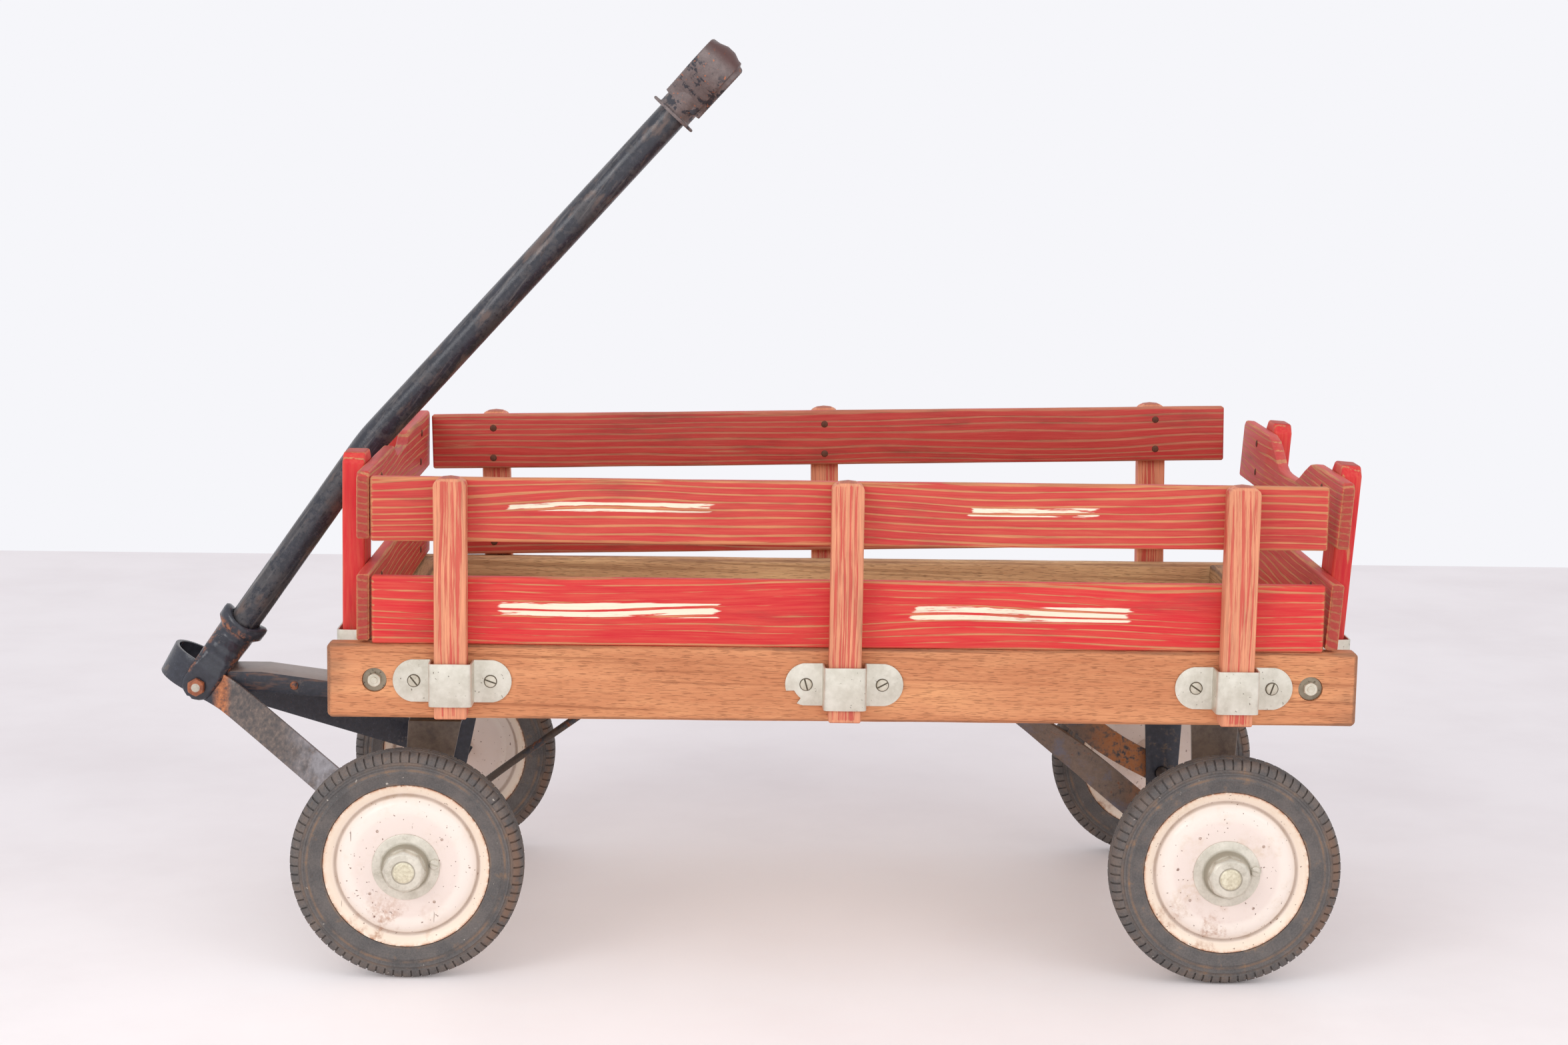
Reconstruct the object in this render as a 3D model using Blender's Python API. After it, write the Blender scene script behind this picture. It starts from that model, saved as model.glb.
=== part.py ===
"""Stake-side pull wagon for children, in metres, +Z up.

The wagon points along -X: the handle and the steered wheels are at -X, the tailgate at +X.
Its origin is on the ground under the middle of the whole wagon. The body is placed from the
middle of its side sills, which stands BODY_MID_X behind that origin.
"""
from math import cos, pi, radians, sin, tan

import bmesh
import bpy
from mathutils import Vector

for old in list(bpy.data.objects):
    bpy.data.objects.remove(old, do_unlink=True)

# ---- driving dimensions ----
GAP = 0.0003                 # left between pieces that touch
FIT = 0.0004                 # round a shaft in its hole
BODY_MID_X = 0.0899          # middle of the sills, from the middle of the whole wagon

SILL = (0.900, 0.020, 0.066)
BODY_WIDTH = 0.477
BODY_TOP = 0.3065
BODY_BOTTOM = BODY_TOP - SILL[2]
END_BOARD_X = 0.4095
BOARD = 0.020                # thickness of the end boards and floor battens
FLOOR = 0.011
FLOOR_BOARDS = 3
FLOOR_RAISE = 0.006          # floor above the bottom of the sills

RAIL = 0.011                 # thickness of every rail and gate board
LOWER_RAIL = (0.3068, 0.3658)
POCKET_MIDDLE = 0.2745       # height of the side pockets' middles
UPPER_RAIL = (0.3967, 0.4525)
RAIL_ENDS = (-0.4110, 0.4185)
STAKE = (0.028, 0.020)
STAKE_SPAN = (0.2440, 0.4550)
STAKE_X = (-0.341, 0.0, 0.341)
FAR_RACK_TILT = radians(1.3)
FAR_RACK_SHIFT = 0.0052      # the far rack's rails sit this much rearward, clear of the gate
STAKE_LEAN = (POCKET_MIDDLE - LOWER_RAIL[0]) * tan(FAR_RACK_TILT)

POCKET_LENGTH = 0.105
POCKET_HEIGHT = 0.038
POCKET_STEEL = 0.0016
POCKET_INNER = 0.0325

GATE_WIDTH = 0.477
GATE_POST = (0.020, 0.044)
POST_Y = 0.158
POST_SPAN = (0.250, 0.4655)
GATE_LOWER = (0.3090, 0.3675)
GATE_UPPER = (0.3985, 0.4570)
FRONT_GATE_LEAN = radians(0.5)
FRONT_GATE_X = -0.4240       # outer face of its boards at the bottom
REAR_GATE_LEAN = radians(3.7)
REAR_GATE_YAW = radians(0.5)
REAR_GATE_X = 0.4200         # inner face of its boards at the bottom, at the near end

WHEEL_R = 0.1034
TYRE_HALF_WIDTH = 0.016
RIM_R = 0.0737
WHEEL_Y = 0.2127
AXLE_R = 0.0062
AXLE_HALF = 0.2472
FRONT_AXLE_X = -0.384
REAR_AXLE_X = 0.344
WHEEL_STEPS = 32

KINGPIN_X = -0.372
KINGPIN_R = 0.0055
BOLSTER_Y = 0.1425
STEEL = 0.004                # bolsters, braces and the draught strap

PIVOT = (-0.6035, 0.2217)
PIVOT_R = 0.0050
HANDLE_ANGLE = radians(55.0)
TUBE_R = 0.0143
TUBE_WALL = 0.0016
TUBE_START = 0.0535
BEND_AT = 0.2820
BEND_ANGLE = radians(7.4)
BEND_R = 0.180
UPPER_LENGTH = 0.4196
NECK_LENGTH = 0.0258
LOOP_LENGTH = 0.0560
LOOP_DEPTH = 0.040
LOOP_HALF_WIDTH = 0.055


# ---- materials ----
def material(name, colour, roughness, metallic=0.0):
    mat = bpy.data.materials.new(name)
    mat.use_nodes = True
    shader = mat.node_tree.nodes["Principled BSDF"]
    shader.inputs["Base Color"].default_value = (*colour, 1.0)
    shader.inputs["Roughness"].default_value = roughness
    shader.inputs["Metallic"].default_value = metallic
    return mat


BARE_WOOD = material("bare_wood", (0.55, 0.30, 0.16), 0.65)
RED_WOOD = material("red_wood", (0.62, 0.14, 0.11), 0.6)
STAKE_WOOD = material("stake_wood", (0.72, 0.34, 0.22), 0.65)
ZINC = material("zinc", (0.62, 0.62, 0.58), 0.45, 0.8)
BLACK_STEEL = material("black_steel", (0.07, 0.07, 0.075), 0.5, 0.4)
RUSTY_STEEL = material("rusty_steel", (0.22, 0.13, 0.09), 0.7, 0.4)
WORN_STEEL = material("worn_steel", (0.20, 0.19, 0.19), 0.4, 0.7)
WHEEL_PAINT = material("wheel_paint", (0.82, 0.74, 0.64), 0.45)
TYRE_RUBBER = material("tyre_rubber", (0.10, 0.09, 0.085), 0.85)


# ---- helpers ----
def place(name, parent=None, location=(0, 0, 0), rotation=(0, 0, 0), data=None):
    obj = bpy.data.objects.new(name, data)
    bpy.context.scene.collection.objects.link(obj)
    obj.parent = parent
    obj.location = location
    obj.rotation_euler = rotation
    return obj


def node(name, bm, mat, parent, location=(0, 0, 0), rotation=(0, 0, 0), smooth=False):
    """Turns a bmesh into the named piece."""
    bmesh.ops.recalc_face_normals(bm, faces=bm.faces)
    mesh = bpy.data.meshes.new(name)
    bm.to_mesh(mesh)
    bm.free()
    mesh.materials.append(mat)
    if smooth:
        mesh.shade_smooth()
        mesh.set_sharp_from_angle(angle=radians(35))
    return place(name, parent, location, rotation, mesh)


def block(low, high, edge=0.0015):
    """A box between two corners, its edges broken by a small bevel."""
    bm = bmesh.new()
    bmesh.ops.create_cube(bm, size=1.0)
    size = Vector(high) - Vector(low)
    bmesh.ops.scale(bm, vec=size, verts=bm.verts)
    bmesh.ops.translate(bm, vec=(Vector(high) + Vector(low)) / 2, verts=bm.verts)
    if edge:
        bmesh.ops.bevel(bm, geom=bm.edges, offset=edge, segments=1, affect="EDGES")
    return bm


def prism(outline, low, high, axis):
    """Extrudes an outline from low to high along an axis.

    The outline's two numbers are (x, y) for axis Z, (x, z) for axis Y and (y, z) for axis X.
    """
    def corner(a, b, depth):
        return {"X": (depth, a, b), "Y": (a, depth, b), "Z": (a, b, depth)}[axis]
    bm = bmesh.new()
    face = bm.faces.new([bm.verts.new(corner(a, b, low)) for a, b in outline])
    moved = bmesh.ops.extrude_face_region(bm, geom=[face])["geom"]
    shift = Vector(corner(0, 0, high)) - Vector(corner(0, 0, low))
    bmesh.ops.translate(bm, vec=shift, verts=[v for v in moved if isinstance(v, bmesh.types.BMVert)])
    return bm


def turned(profile, steps):
    """Spins a closed (radius, y) profile once about the Y axis; one edge points straight down."""
    bm = bmesh.new()
    verts = [bm.verts.new((0, y, -r)) for r, y in profile]
    edges = [bm.edges.new((verts[i - 1], verts[i])) for i in range(len(verts))]
    bmesh.ops.spin(bm, geom=verts + edges, cent=(0, 0, 0), axis=(0, 1, 0),
                   angle=2 * pi, steps=steps, use_merge=True)
    return bm


def loft(rings, closed=False):
    """Joins rings of equal point counts into one skin, capped at both ends unless closed."""
    bm = bmesh.new()
    loops = [[bm.verts.new(point) for point in ring] for ring in rings]
    pairs = list(zip(loops, loops[1:] + loops[:1])) if closed else list(zip(loops, loops[1:]))
    for one, two in pairs:
        for i in range(len(one)):
            bm.faces.new((one[i - 1], one[i], two[i], two[i - 1]))
    if not closed:
        bm.faces.new(loops[0])
        bm.faces.new(loops[-1])
    return bm


def strap(stations, width, thickness):
    """A flat bar through stations (middle, across, through): across is its width's direction.

    Its faces are triangles, because those of a twisted bar aren't flat.
    """
    rings = []
    for middle, across, through in stations:
        half_w = Vector(across).normalized() * width / 2
        half_t = Vector(through).normalized() * thickness / 2
        centre = Vector(middle)
        rings.append([centre - half_w - half_t, centre + half_w - half_t,
                      centre + half_w + half_t, centre - half_w + half_t])
    bm = loft(rings)
    bmesh.ops.triangulate(bm, faces=bm.faces)
    return bm


def rod(path, radius, sides=12):
    """Rings of a round bar along a path in a vertical plane of constant y."""
    rings = []
    for i, point in enumerate(path):
        before = Vector(path[max(i - 1, 0)])
        after = Vector(path[min(i + 1, len(path) - 1)])
        along = (after - before).normalized()
        side = Vector((0, 1, 0))
        up = along.cross(side)
        rings.append([Vector(point) + radius * (cos(a) * side + sin(a) * up)
                      for a in (2 * pi * k / sides for k in range(sides))])
    return rings


def cutter(name, parent, low, high, radius, axis, location=(0, 0, 0)):
    """A round cutter between two depths along an axis, hidden from the build."""
    sides = 16
    outline = [(radius * cos(2 * pi * k / sides), radius * sin(2 * pi * k / sides)) for k in range(sides)]
    return hide(node(name, prism(outline, low, high, axis), BLACK_STEEL, parent, location))


def hide(obj):
    obj.hide_render = True
    obj.display_type = "WIRE"
    return obj


def boolean(obj, tool, operation="DIFFERENCE"):
    modifier = obj.modifiers.new(tool.name, "BOOLEAN")
    modifier.object = tool
    modifier.operation = operation


def arc(centre, radius, start, end, count):
    """Points on an arc, angles in degrees."""
    return [(centre[0] + radius * cos(radians(start + (end - start) * k / count)),
             centre[1] + radius * sin(radians(start + (end - start) * k / count)))
            for k in range(count + 1)]


wagon = place("wagon_at_sill_middle", location=(BODY_MID_X, 0, 0))
SIDES = (("near", -1), ("far", 1))
FACE_Y = BODY_WIDTH / 2


# ---- bed: two sills, two end boards, the floor and its two battens ----
for side, sign in SIDES:
    inner, outer = sorted((sign * (FACE_Y - SILL[1]), sign * FACE_Y))
    node(f"sill_{side}", block((-SILL[0] / 2, inner, BODY_BOTTOM), (SILL[0] / 2, outer, BODY_TOP), 0.003),
         BARE_WOOD, wagon)

INNER_Y = FACE_Y - SILL[1] - GAP
FLOOR_BOTTOM = BODY_BOTTOM + FLOOR_RAISE
for end, sign in (("front", -1), ("rear", 1)):
    low, high = sorted((sign * (END_BOARD_X - BOARD / 2), sign * (END_BOARD_X + BOARD / 2)))
    node(f"end_board_{end}", block((low, -INNER_Y, BODY_BOTTOM), (high, INNER_Y, BODY_TOP)),
         BARE_WOOD, wagon)

floor_end = END_BOARD_X - BOARD / 2 - GAP
floor_pitch = 2 * INNER_Y / FLOOR_BOARDS
for i in range(FLOOR_BOARDS):
    low_y = -INNER_Y + i * floor_pitch + GAP
    node(f"floor_board_{i + 1}",
         block((-floor_end, low_y, FLOOR_BOTTOM), (floor_end, low_y + floor_pitch - 2 * GAP, FLOOR_BOTTOM + FLOOR)),
         BARE_WOOD, wagon)

BLOCK_HALF = (0.0265, 0.095)
TURNTABLE_TOP = 0.2235
kingpin_hole = cutter("kingpin_hole", wagon, 0.05, 0.30, KINGPIN_R + FIT, "Z", (KINGPIN_X, 0, 0))
front_block = node("front_bolster_block",
                   block((KINGPIN_X - BLOCK_HALF[0], -BLOCK_HALF[1], TURNTABLE_TOP + GAP),
                         (KINGPIN_X + BLOCK_HALF[0], BLOCK_HALF[1], FLOOR_BOTTOM - GAP)),
                   BARE_WOOD, wagon)
boolean(front_block, kingpin_hole)


# ---- pockets: galvanised hat-section brackets that hold stakes and gate posts ----
def pocket_mesh(name, inner_width, inner_depth, location, rotation):
    """A bent strip with two flat round-ended ears; its back lies on y=0 and it stands out to -y."""
    outer_half = inner_width / 2 + POCKET_STEEL
    ear_end = POCKET_LENGTH / 2 + inner_width / 2 - POCKET_INNER / 2
    depth = inner_depth + POCKET_STEEL
    section = [(-ear_end, 0), (-ear_end, -POCKET_STEEL), (-outer_half, -POCKET_STEEL), (-outer_half, -depth),
               (outer_half, -depth), (outer_half, -POCKET_STEEL), (ear_end, -POCKET_STEEL), (ear_end, 0),
               (inner_width / 2, 0), (inner_width / 2, -inner_depth),
               (-inner_width / 2, -inner_depth), (-inner_width / 2, 0)]
    half = POCKET_HEIGHT / 2
    strip = node(name, prism(section, -half, half, "Z"), ZINC, wagon, location, rotation)
    round_r = half - 0.001
    ends = arc((ear_end - round_r, 0), round_r, -90, 90, 5) + arc((round_r - ear_end, 0), round_r, 90, 270, 5)
    outline = [(x, z * half / round_r * 1.001) for x, z in ends]
    template = hide(node(name + "_outline", prism(outline, -0.1, 0.1, "Y"), ZINC, wagon, location, rotation))
    boolean(strip, template, "INTERSECT")
    return strip


SIDE_DEPTH = STAKE[1] + 0.0012
for side, sign in SIDES:
    turn = 0 if sign < 0 else pi
    for i, stake_x in enumerate(STAKE_X):
        pocket_mesh(f"stake_pocket_{side}_{i + 1}", POCKET_INNER, SIDE_DEPTH,
                    (stake_x, sign * (FACE_Y + GAP), POCKET_MIDDLE), (0, 0, turn))

FRONT_POST_DEPTH = 0.0275
REAR_POST_DEPTH = 0.0340
POST_POCKET_INNER = GATE_POST[1] + 0.004
POST_POCKET_Z = BODY_TOP - POCKET_HEIGHT / 2 + 0.0015
for end, sign, depth in (("front", -1, FRONT_POST_DEPTH), ("rear", 1, REAR_POST_DEPTH)):
    for side, y_sign in SIDES:
        pocket_mesh(f"post_pocket_{end}_{side}", POST_POCKET_INNER, depth,
                    (sign * (END_BOARD_X + BOARD / 2 + GAP), y_sign * POST_Y, POST_POCKET_Z),
                    (0, 0, sign * pi / 2))


# ---- side racks: two rails nailed inside three stakes, lifting straight out of the pockets ----
def build_rack(side, sign, parent, origin, moved_by=0.0, stake_shift=0.0):
    """Pieces are placed from origin = (x, z); rails of a rack moved rearward end that much sooner."""
    for level, (low, high) in (("lower", LOWER_RAIL), ("upper", UPPER_RAIL)):
        y_low, y_high = sorted((sign * FACE_Y, sign * (FACE_Y - RAIL)))
        node(f"rack_{side}_{level}_rail",
             block((RAIL_ENDS[0] - origin[0], y_low, low - origin[1]),
                   (RAIL_ENDS[1] - 2 * moved_by - origin[0], y_high, high - origin[1])),
             RED_WOOD, parent)
    for i, stake_x in enumerate(STAKE_X):
        y_low, y_high = sorted((sign * (FACE_Y + GAP), sign * (FACE_Y + GAP + STAKE[1])))
        outline = [(-STAKE[0] / 2, STAKE_SPAN[0]), (STAKE[0] / 2, STAKE_SPAN[0]),
                   (STAKE[0] / 2, STAKE_SPAN[1] - 0.006)]
        outline += [(STAKE[0] / 2 * cos(radians(a)), STAKE_SPAN[1] - 0.006 + 0.006 * sin(radians(a)))
                    for a in range(30, 180, 30)]
        outline += [(-STAKE[0] / 2, STAKE_SPAN[1] - 0.006)]
        moved = [(x + stake_x + stake_shift - origin[0], z - origin[1]) for x, z in outline]
        node(f"rack_{side}_stake_{i + 1}", prism(moved, y_low, y_high, "Y"), STAKE_WOOD, parent)


near_rack = place("near_rack", wagon)
build_rack("near", -1, near_rack, (0, 0))
far_corner = (RAIL_ENDS[0], LOWER_RAIL[0])
far_rack = place("far_rack", wagon, (far_corner[0] + FAR_RACK_SHIFT, 0, far_corner[1]), (0, -FAR_RACK_TILT, 0))
build_rack("far", 1, far_rack, far_corner, FAR_RACK_SHIFT, STAKE_LEAN - FAR_RACK_SHIFT)


# ---- end gates: two cross boards nailed to two posts that drop into pockets ----
def gate_top(y, dip, flat, shoulder):
    """Height lost at y to a smooth hollow in the board's top edge."""
    if abs(y) >= shoulder:
        return 0.0
    if abs(y) <= flat:
        return dip
    return dip * (0.5 + 0.5 * cos(pi * (abs(y) - flat) / (shoulder - flat)))


def build_gate(end, parent, board_x, post_x, dip, flat, shoulder):
    """Pieces are placed from the foot of the boards: x is outward, z is up from the bed's top."""
    half = GATE_WIDTH / 2
    low, high = (z - BODY_TOP for z in GATE_LOWER)
    node(f"gate_{end}_lower_board", block((board_x[0], -half, low), (board_x[1], half, high)), RED_WOOD, parent)
    low, high = (z - BODY_TOP for z in GATE_UPPER)
    corner = 0.005
    steps = 12
    hollow = [shoulder * (1 - 2 * k / steps) for k in range(steps + 1)]
    outline = [(-half, low), (half, low), (half, high - corner), (half - corner, high)]
    outline += [(y, high - gate_top(y, dip, flat, shoulder)) for y in hollow]
    outline += [(corner - half, high), (-half, high - corner)]
    node(f"gate_{end}_upper_board", prism(outline, board_x[0], board_x[1], "X"), RED_WOOD, parent)
    low, high = (z - BODY_TOP for z in POST_SPAN)
    for side, sign in SIDES:
        rounded = 0.008
        edge = GATE_POST[1] / 2
        post = [(-edge, low), (edge, low), (edge, high - rounded), (edge - rounded, high), (rounded - edge, high),
                (-edge, high - rounded)]
        moved = [(y + sign * POST_Y, z) for y, z in post]
        node(f"gate_{end}_post_{side}", prism(moved, post_x[0], post_x[1], "X"), RED_WOOD, parent)


front_gate = place("front_gate", wagon, (FRONT_GATE_X, 0, BODY_TOP), (0, FRONT_GATE_LEAN, 0))
HANDLE_DIP = (0.0110, 0.034, 0.060)
build_gate("front", front_gate, (0, RAIL), (-GATE_POST[0] - GAP, -GAP), *HANDLE_DIP)
rear_gate_x = REAR_GATE_X + GATE_WIDTH / 2 * sin(REAR_GATE_YAW)
rear_gate = place("rear_gate", wagon, (rear_gate_x, 0, BODY_TOP), (0, REAR_GATE_LEAN, -REAR_GATE_YAW))
TAIL_NOTCH = (0.0260, 0.026, 0.112)
REAR_POST = 0.018
build_gate("rear", rear_gate, (0, RAIL), (RAIL + GAP, RAIL + GAP + REAR_POST), *TAIL_NOTCH)


# ---- rear running gear: a U-shaped bolster, a straight axle and two braces ----
def bolster_mesh(top, foot, width_top, width_foot, lean):
    """A channel-like U in steel plate: two tapered legs down from a flat top, axle at x = 0."""
    thickness = STEEL
    y = BOLSTER_Y
    outer = [(-y, foot), (-y, top), (y, top), (y, foot), (y - thickness, foot),
             (y - thickness, top - thickness), (thickness - y, top - thickness), (thickness - y, foot)]
    bm = prism(outer, -0.5, 0.5, "X")
    for vert in bm.verts:
        down = (top - vert.co.z) / (top - foot)
        width = width_top + (width_foot - width_top) * down
        vert.co.x = vert.co.x * width + lean * (1 - down)
    return bm


def axle_mesh(steps=12):
    """A round bar with a nut on each end, as one turned skin about Y."""
    nut_r = 0.0165
    nut_in = WHEEL_Y + 0.0245
    nut_out = nut_in + 0.0090
    half = [(AXLE_R, nut_in), (nut_r, nut_in), (nut_r, nut_out), (AXLE_R, nut_out), (AXLE_R, AXLE_HALF)]
    profile = half[::-1] + [(r, -y) for r, y in half]
    return loft([[(r * cos(2 * pi * k / steps), y, r * sin(2 * pi * k / steps)) for k in range(steps)]
                 for r, y in profile])


axle_z = WHEEL_R
rear_hole = cutter("rear_axle_hole", wagon, -0.3, 0.3, AXLE_R + FIT, "Y", (REAR_AXLE_X, 0, axle_z))
REAR_FOOT = 0.088
rear_bolster = node("rear_bolster", bolster_mesh(BODY_BOTTOM + FLOOR_RAISE - GAP, REAR_FOOT, 0.046, 0.031, 0),
                    BLACK_STEEL, wagon, (REAR_AXLE_X, 0, 0))
boolean(rear_bolster, rear_hole)
node("rear_axle", axle_mesh(), WORN_STEEL, wagon, (REAR_AXLE_X, 0, axle_z), smooth=True)

BRACE_WIDTH = 0.027
brace_y = BOLSTER_Y + STEEL
for side, sign in SIDES:
    head_z = FLOOR_BOTTOM - GAP - STEEL / 2
    out = Vector((0, sign, 0))
    up = Vector((0, 0, 1))
    across = Vector((0.637, 0, 0.771))
    foot_across = Vector((0.450, 0, 0.893))
    stations = [((0.085, sign * brace_y, head_z), out, up),
                ((0.122, sign * brace_y, head_z), out, up),
                ((0.157, sign * brace_y, 0.2350), out * 0.8 + across * 0.6, across * 0.8 - out * 0.6),
                ((0.215, sign * brace_y, 0.1925), out * 0.35 + across * 0.94, across * 0.35 - out * 0.94),
                ((0.255, sign * brace_y, 0.1595), across, -out),
                ((0.290, sign * brace_y, 0.1306), (across + foot_across) / 2, -out),
                ((REAR_AXLE_X + 0.010, sign * brace_y, axle_z - 0.005), foot_across, -out)]
    brace = node(f"rear_brace_{side}", strap(stations, BRACE_WIDTH, STEEL - 2 * GAP), RUSTY_STEEL, wagon)
    boolean(brace, rear_hole)


# ---- front running gear: turntable plates, bolster, axle, draught strap and tongue ----
PLATE_R = 0.045
disc_outline = [(PLATE_R * cos(2 * pi * k / 24), PLATE_R * sin(2 * pi * k / 24)) for k in range(24)]
upper_plate = node("turntable_plate", prism(disc_outline, TURNTABLE_TOP - 0.003, TURNTABLE_TOP, "Z"),
                   BLACK_STEEL, wagon, (KINGPIN_X, 0, 0))
boolean(upper_plate, kingpin_hole)

PIN_FOOT = 0.0810
KINGPIN_TOP = FLOOR_BOTTOM - GAP
BRACE_EYE_Z = 0.0900
pin_profile = [(KINGPIN_R, KINGPIN_TOP), (KINGPIN_R, PIN_FOOT + 0.004), (0.009, PIN_FOOT + 0.004),
               (0.009, PIN_FOOT)]
pin_rings = [[(r * cos(2 * pi * k / 12), r * sin(2 * pi * k / 12), z) for k in range(12)] for r, z in pin_profile]
node("king_pin", loft(pin_rings), RUSTY_STEEL, wagon, (KINGPIN_X, 0, 0), smooth=True)

ROD_R = 0.0036
rod_top = FLOOR_BOTTOM - GAP - ROD_R
eye_to_body = [(0.0, 0, BRACE_EYE_Z), (0.015, 0, BRACE_EYE_Z), (0.024, 0, 0.1080), (0.034, 0, 0.1220), (0.150, 0, 0.2052),
               (0.190, 0, 0.2335), (0.207, 0, rod_top), (0.238, 0, rod_top)]
brace_rod = node("kingpin_brace", loft(rod(eye_to_body, ROD_R, 10)), RUSTY_STEEL, wagon, (KINGPIN_X, 0, 0),
                 smooth=True)
eye_outline = [(0.012 * cos(2 * pi * k / 16), 0.012 * sin(2 * pi * k / 16)) for k in range(16)]
eye = hide(node("kingpin_eye", prism(eye_outline, BRACE_EYE_Z - 0.0035, BRACE_EYE_Z + 0.0035, "Z"),
                RUSTY_STEEL, wagon, (KINGPIN_X, 0, 0)))
boolean(brace_rod, eye, "UNION")
boolean(brace_rod, kingpin_hole)

truck = place("front_truck", wagon, (KINGPIN_X, 0, 0))
truck_pin_hole = cutter("truck_pin_hole", truck, 0.05, 0.30, KINGPIN_R + FIT, "Z")
front_axle_at = FRONT_AXLE_X - KINGPIN_X
front_hole = cutter("front_axle_hole", truck, -0.3, 0.3, AXLE_R + FIT, "Y", (front_axle_at, 0, axle_z))
BOLSTER_TOP = 0.2160
FRONT_FOOT = 0.0920
BOLSTER_LEAN = 0.0170
front_bolster = node("front_bolster", bolster_mesh(BOLSTER_TOP, FRONT_FOOT, 0.048, 0.030, BOLSTER_LEAN),
                     BLACK_STEEL, truck, (front_axle_at, 0, 0))
boolean(front_bolster, front_hole)
boolean(front_bolster, truck_pin_hole)
node("front_axle", axle_mesh(), WORN_STEEL, truck, (front_axle_at, 0, axle_z), smooth=True)

# The draught strap is one flat bar bent into a long U. Its width leans square to the run of its
# legs, which fall from the handle's pivot to the axle.
pivot_at = Vector((PIVOT[0] - KINGPIN_X, 0, PIVOT[1]))
axle_at = Vector((front_axle_at, 0, axle_z))
run = (axle_at - pivot_at).normalized()
strap_up = Vector((-run.z, 0, run.x))
STRAP_WIDTH = 0.031
STRAP_RAISE = 0.006
BOW_HALF = 0.0275
LEG_FOOT_Y = 0.170
BOW_FRONT = 0.008
LEG_START = 0.0215            # where the legs begin to splay, clear of the fork's ears
run_length = (axle_at - pivot_at).length
path = [(run_length + 0.013, -LEG_FOOT_Y), (run_length - 0.035, -LEG_FOOT_Y), (run_length - 0.055, -0.156),
        (0.040, -BOW_HALF - 0.0085), (LEG_START, -BOW_HALF)]
path += [(-BOW_FRONT + 1.08 * x, y) for x, y in arc((0, 0), BOW_HALF, 270, 90, 8)]
path += [(u, -y) for u, y in path[4::-1]]
stations = []
for i, (u, y) in enumerate(path):
    before = Vector(path[max(i - 1, 0)])
    after = Vector(path[min(i + 1, len(path) - 1)])
    tangent = (after - before).normalized()
    middle = pivot_at + run * u + Vector((0, y, 0)) + strap_up * STRAP_RAISE
    stations.append((middle, strap_up, run * tangent.y - Vector((0, tangent.x, 0))))
draught_strap = node("draught_strap", strap(stations, STRAP_WIDTH, STEEL), BLACK_STEEL, truck, smooth=True)
pivot_hole = cutter("pivot_hole", truck, -0.06, 0.06, PIVOT_R + FIT, "Y", pivot_at)
boolean(draught_strap, front_hole)
boolean(draught_strap, pivot_hole)

# The tongue is a channel with its flanges down from the pivot bolt, flattened over the bolster.
TONGUE_HALF = 0.0240
TONGUE_PLATE = 0.003
TONGUE_TOP = 0.2345
TONGUE_REAR = 0.038
CHANNEL_END = (-0.072, 0.2215)        # where the flanges stop and the plate runs on alone


def channel_ring(x, z, depth):
    """The channel's cross-section at x, its top at z and its flanges reaching depth below."""
    half = TONGUE_HALF
    t = TONGUE_PLATE
    return [(x, -half, z), (x, half, z), (x, half, z - depth), (x, half - t, z - depth),
            (x, half - t, z - t), (x, t - half, z - t), (x, t - half, z - depth), (x, -half, z - depth)]


tongue_rings = [channel_ring(pivot_at.x - 0.0065, TONGUE_TOP, 0.0215),
                channel_ring(pivot_at.x + 0.060, TONGUE_TOP, 0.0190),
                channel_ring(*CHANNEL_END, 0.014)]
tongue = node("tongue_channel", loft(tongue_rings), BLACK_STEEL, truck)
plate_x = [CHANNEL_END[0] - 0.006, CHANNEL_END[0], -0.030, TONGUE_REAR]
plate_z = [CHANNEL_END[1] + 0.0006, CHANNEL_END[1], BOLSTER_TOP + GAP + TONGUE_PLATE, BOLSTER_TOP + GAP + TONGUE_PLATE]
plate_top = list(zip(plate_x, plate_z))
plate_outline = plate_top + [(x, z - TONGUE_PLATE) for x, z in reversed(plate_top)]
tongue_plate = hide(node("tongue_plate", prism(plate_outline, 0.001 - TONGUE_HALF, TONGUE_HALF - 0.001, "Y"),
                         BLACK_STEEL, truck))
boolean(tongue, tongue_plate, "UNION")
boolean(tongue, truck_pin_hole)
boolean(tongue, pivot_hole)

# ---- handle: a forked socket on the pivot bolt, a bent tube and a strap-loop grip ----
handle = place("handle", truck, pivot_at, (0, pi / 2 - HANDLE_ANGLE, 0))
EAR_IN = BOW_HALF + STEEL / 2 + 0.0007
EAR = 0.0030
EAR_HALF_WIDTH = 0.015
WEB = (0.0490, 0.0520)
SOCKET_END = 0.0660
fork_section = [(-EAR_IN - EAR, -0.013), (-EAR_IN - EAR, WEB[0] - 0.006), (-EAR_IN + 0.006, WEB[1]),
                (EAR_IN - 0.006, WEB[1]), (EAR_IN + EAR, WEB[0] - 0.006), (EAR_IN + EAR, -0.013),
                (EAR_IN, -0.013), (EAR_IN, WEB[0] - 0.009), (EAR_IN - 0.008, WEB[0]),
                (0.008 - EAR_IN, WEB[0]), (-EAR_IN, WEB[0] - 0.009), (-EAR_IN, -0.013)]
fork = node("handle_fork", prism(fork_section, -EAR_HALF_WIDTH, EAR_HALF_WIDTH, "X"), BLACK_STEEL, handle)
ear_shape = arc((0, 0), 0.0125, 200, 340, 7) + [(EAR_HALF_WIDTH, 0.018), (EAR_HALF_WIDTH + 0.001, 0.060),
                                               (-EAR_HALF_WIDTH - 0.001, 0.060), (-EAR_HALF_WIDTH, 0.018)]
boolean(fork, hide(node("fork_outline", prism(ear_shape, -0.1, 0.1, "Y"), BLACK_STEEL, handle)), "INTERSECT")
socket_steps = 20


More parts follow.
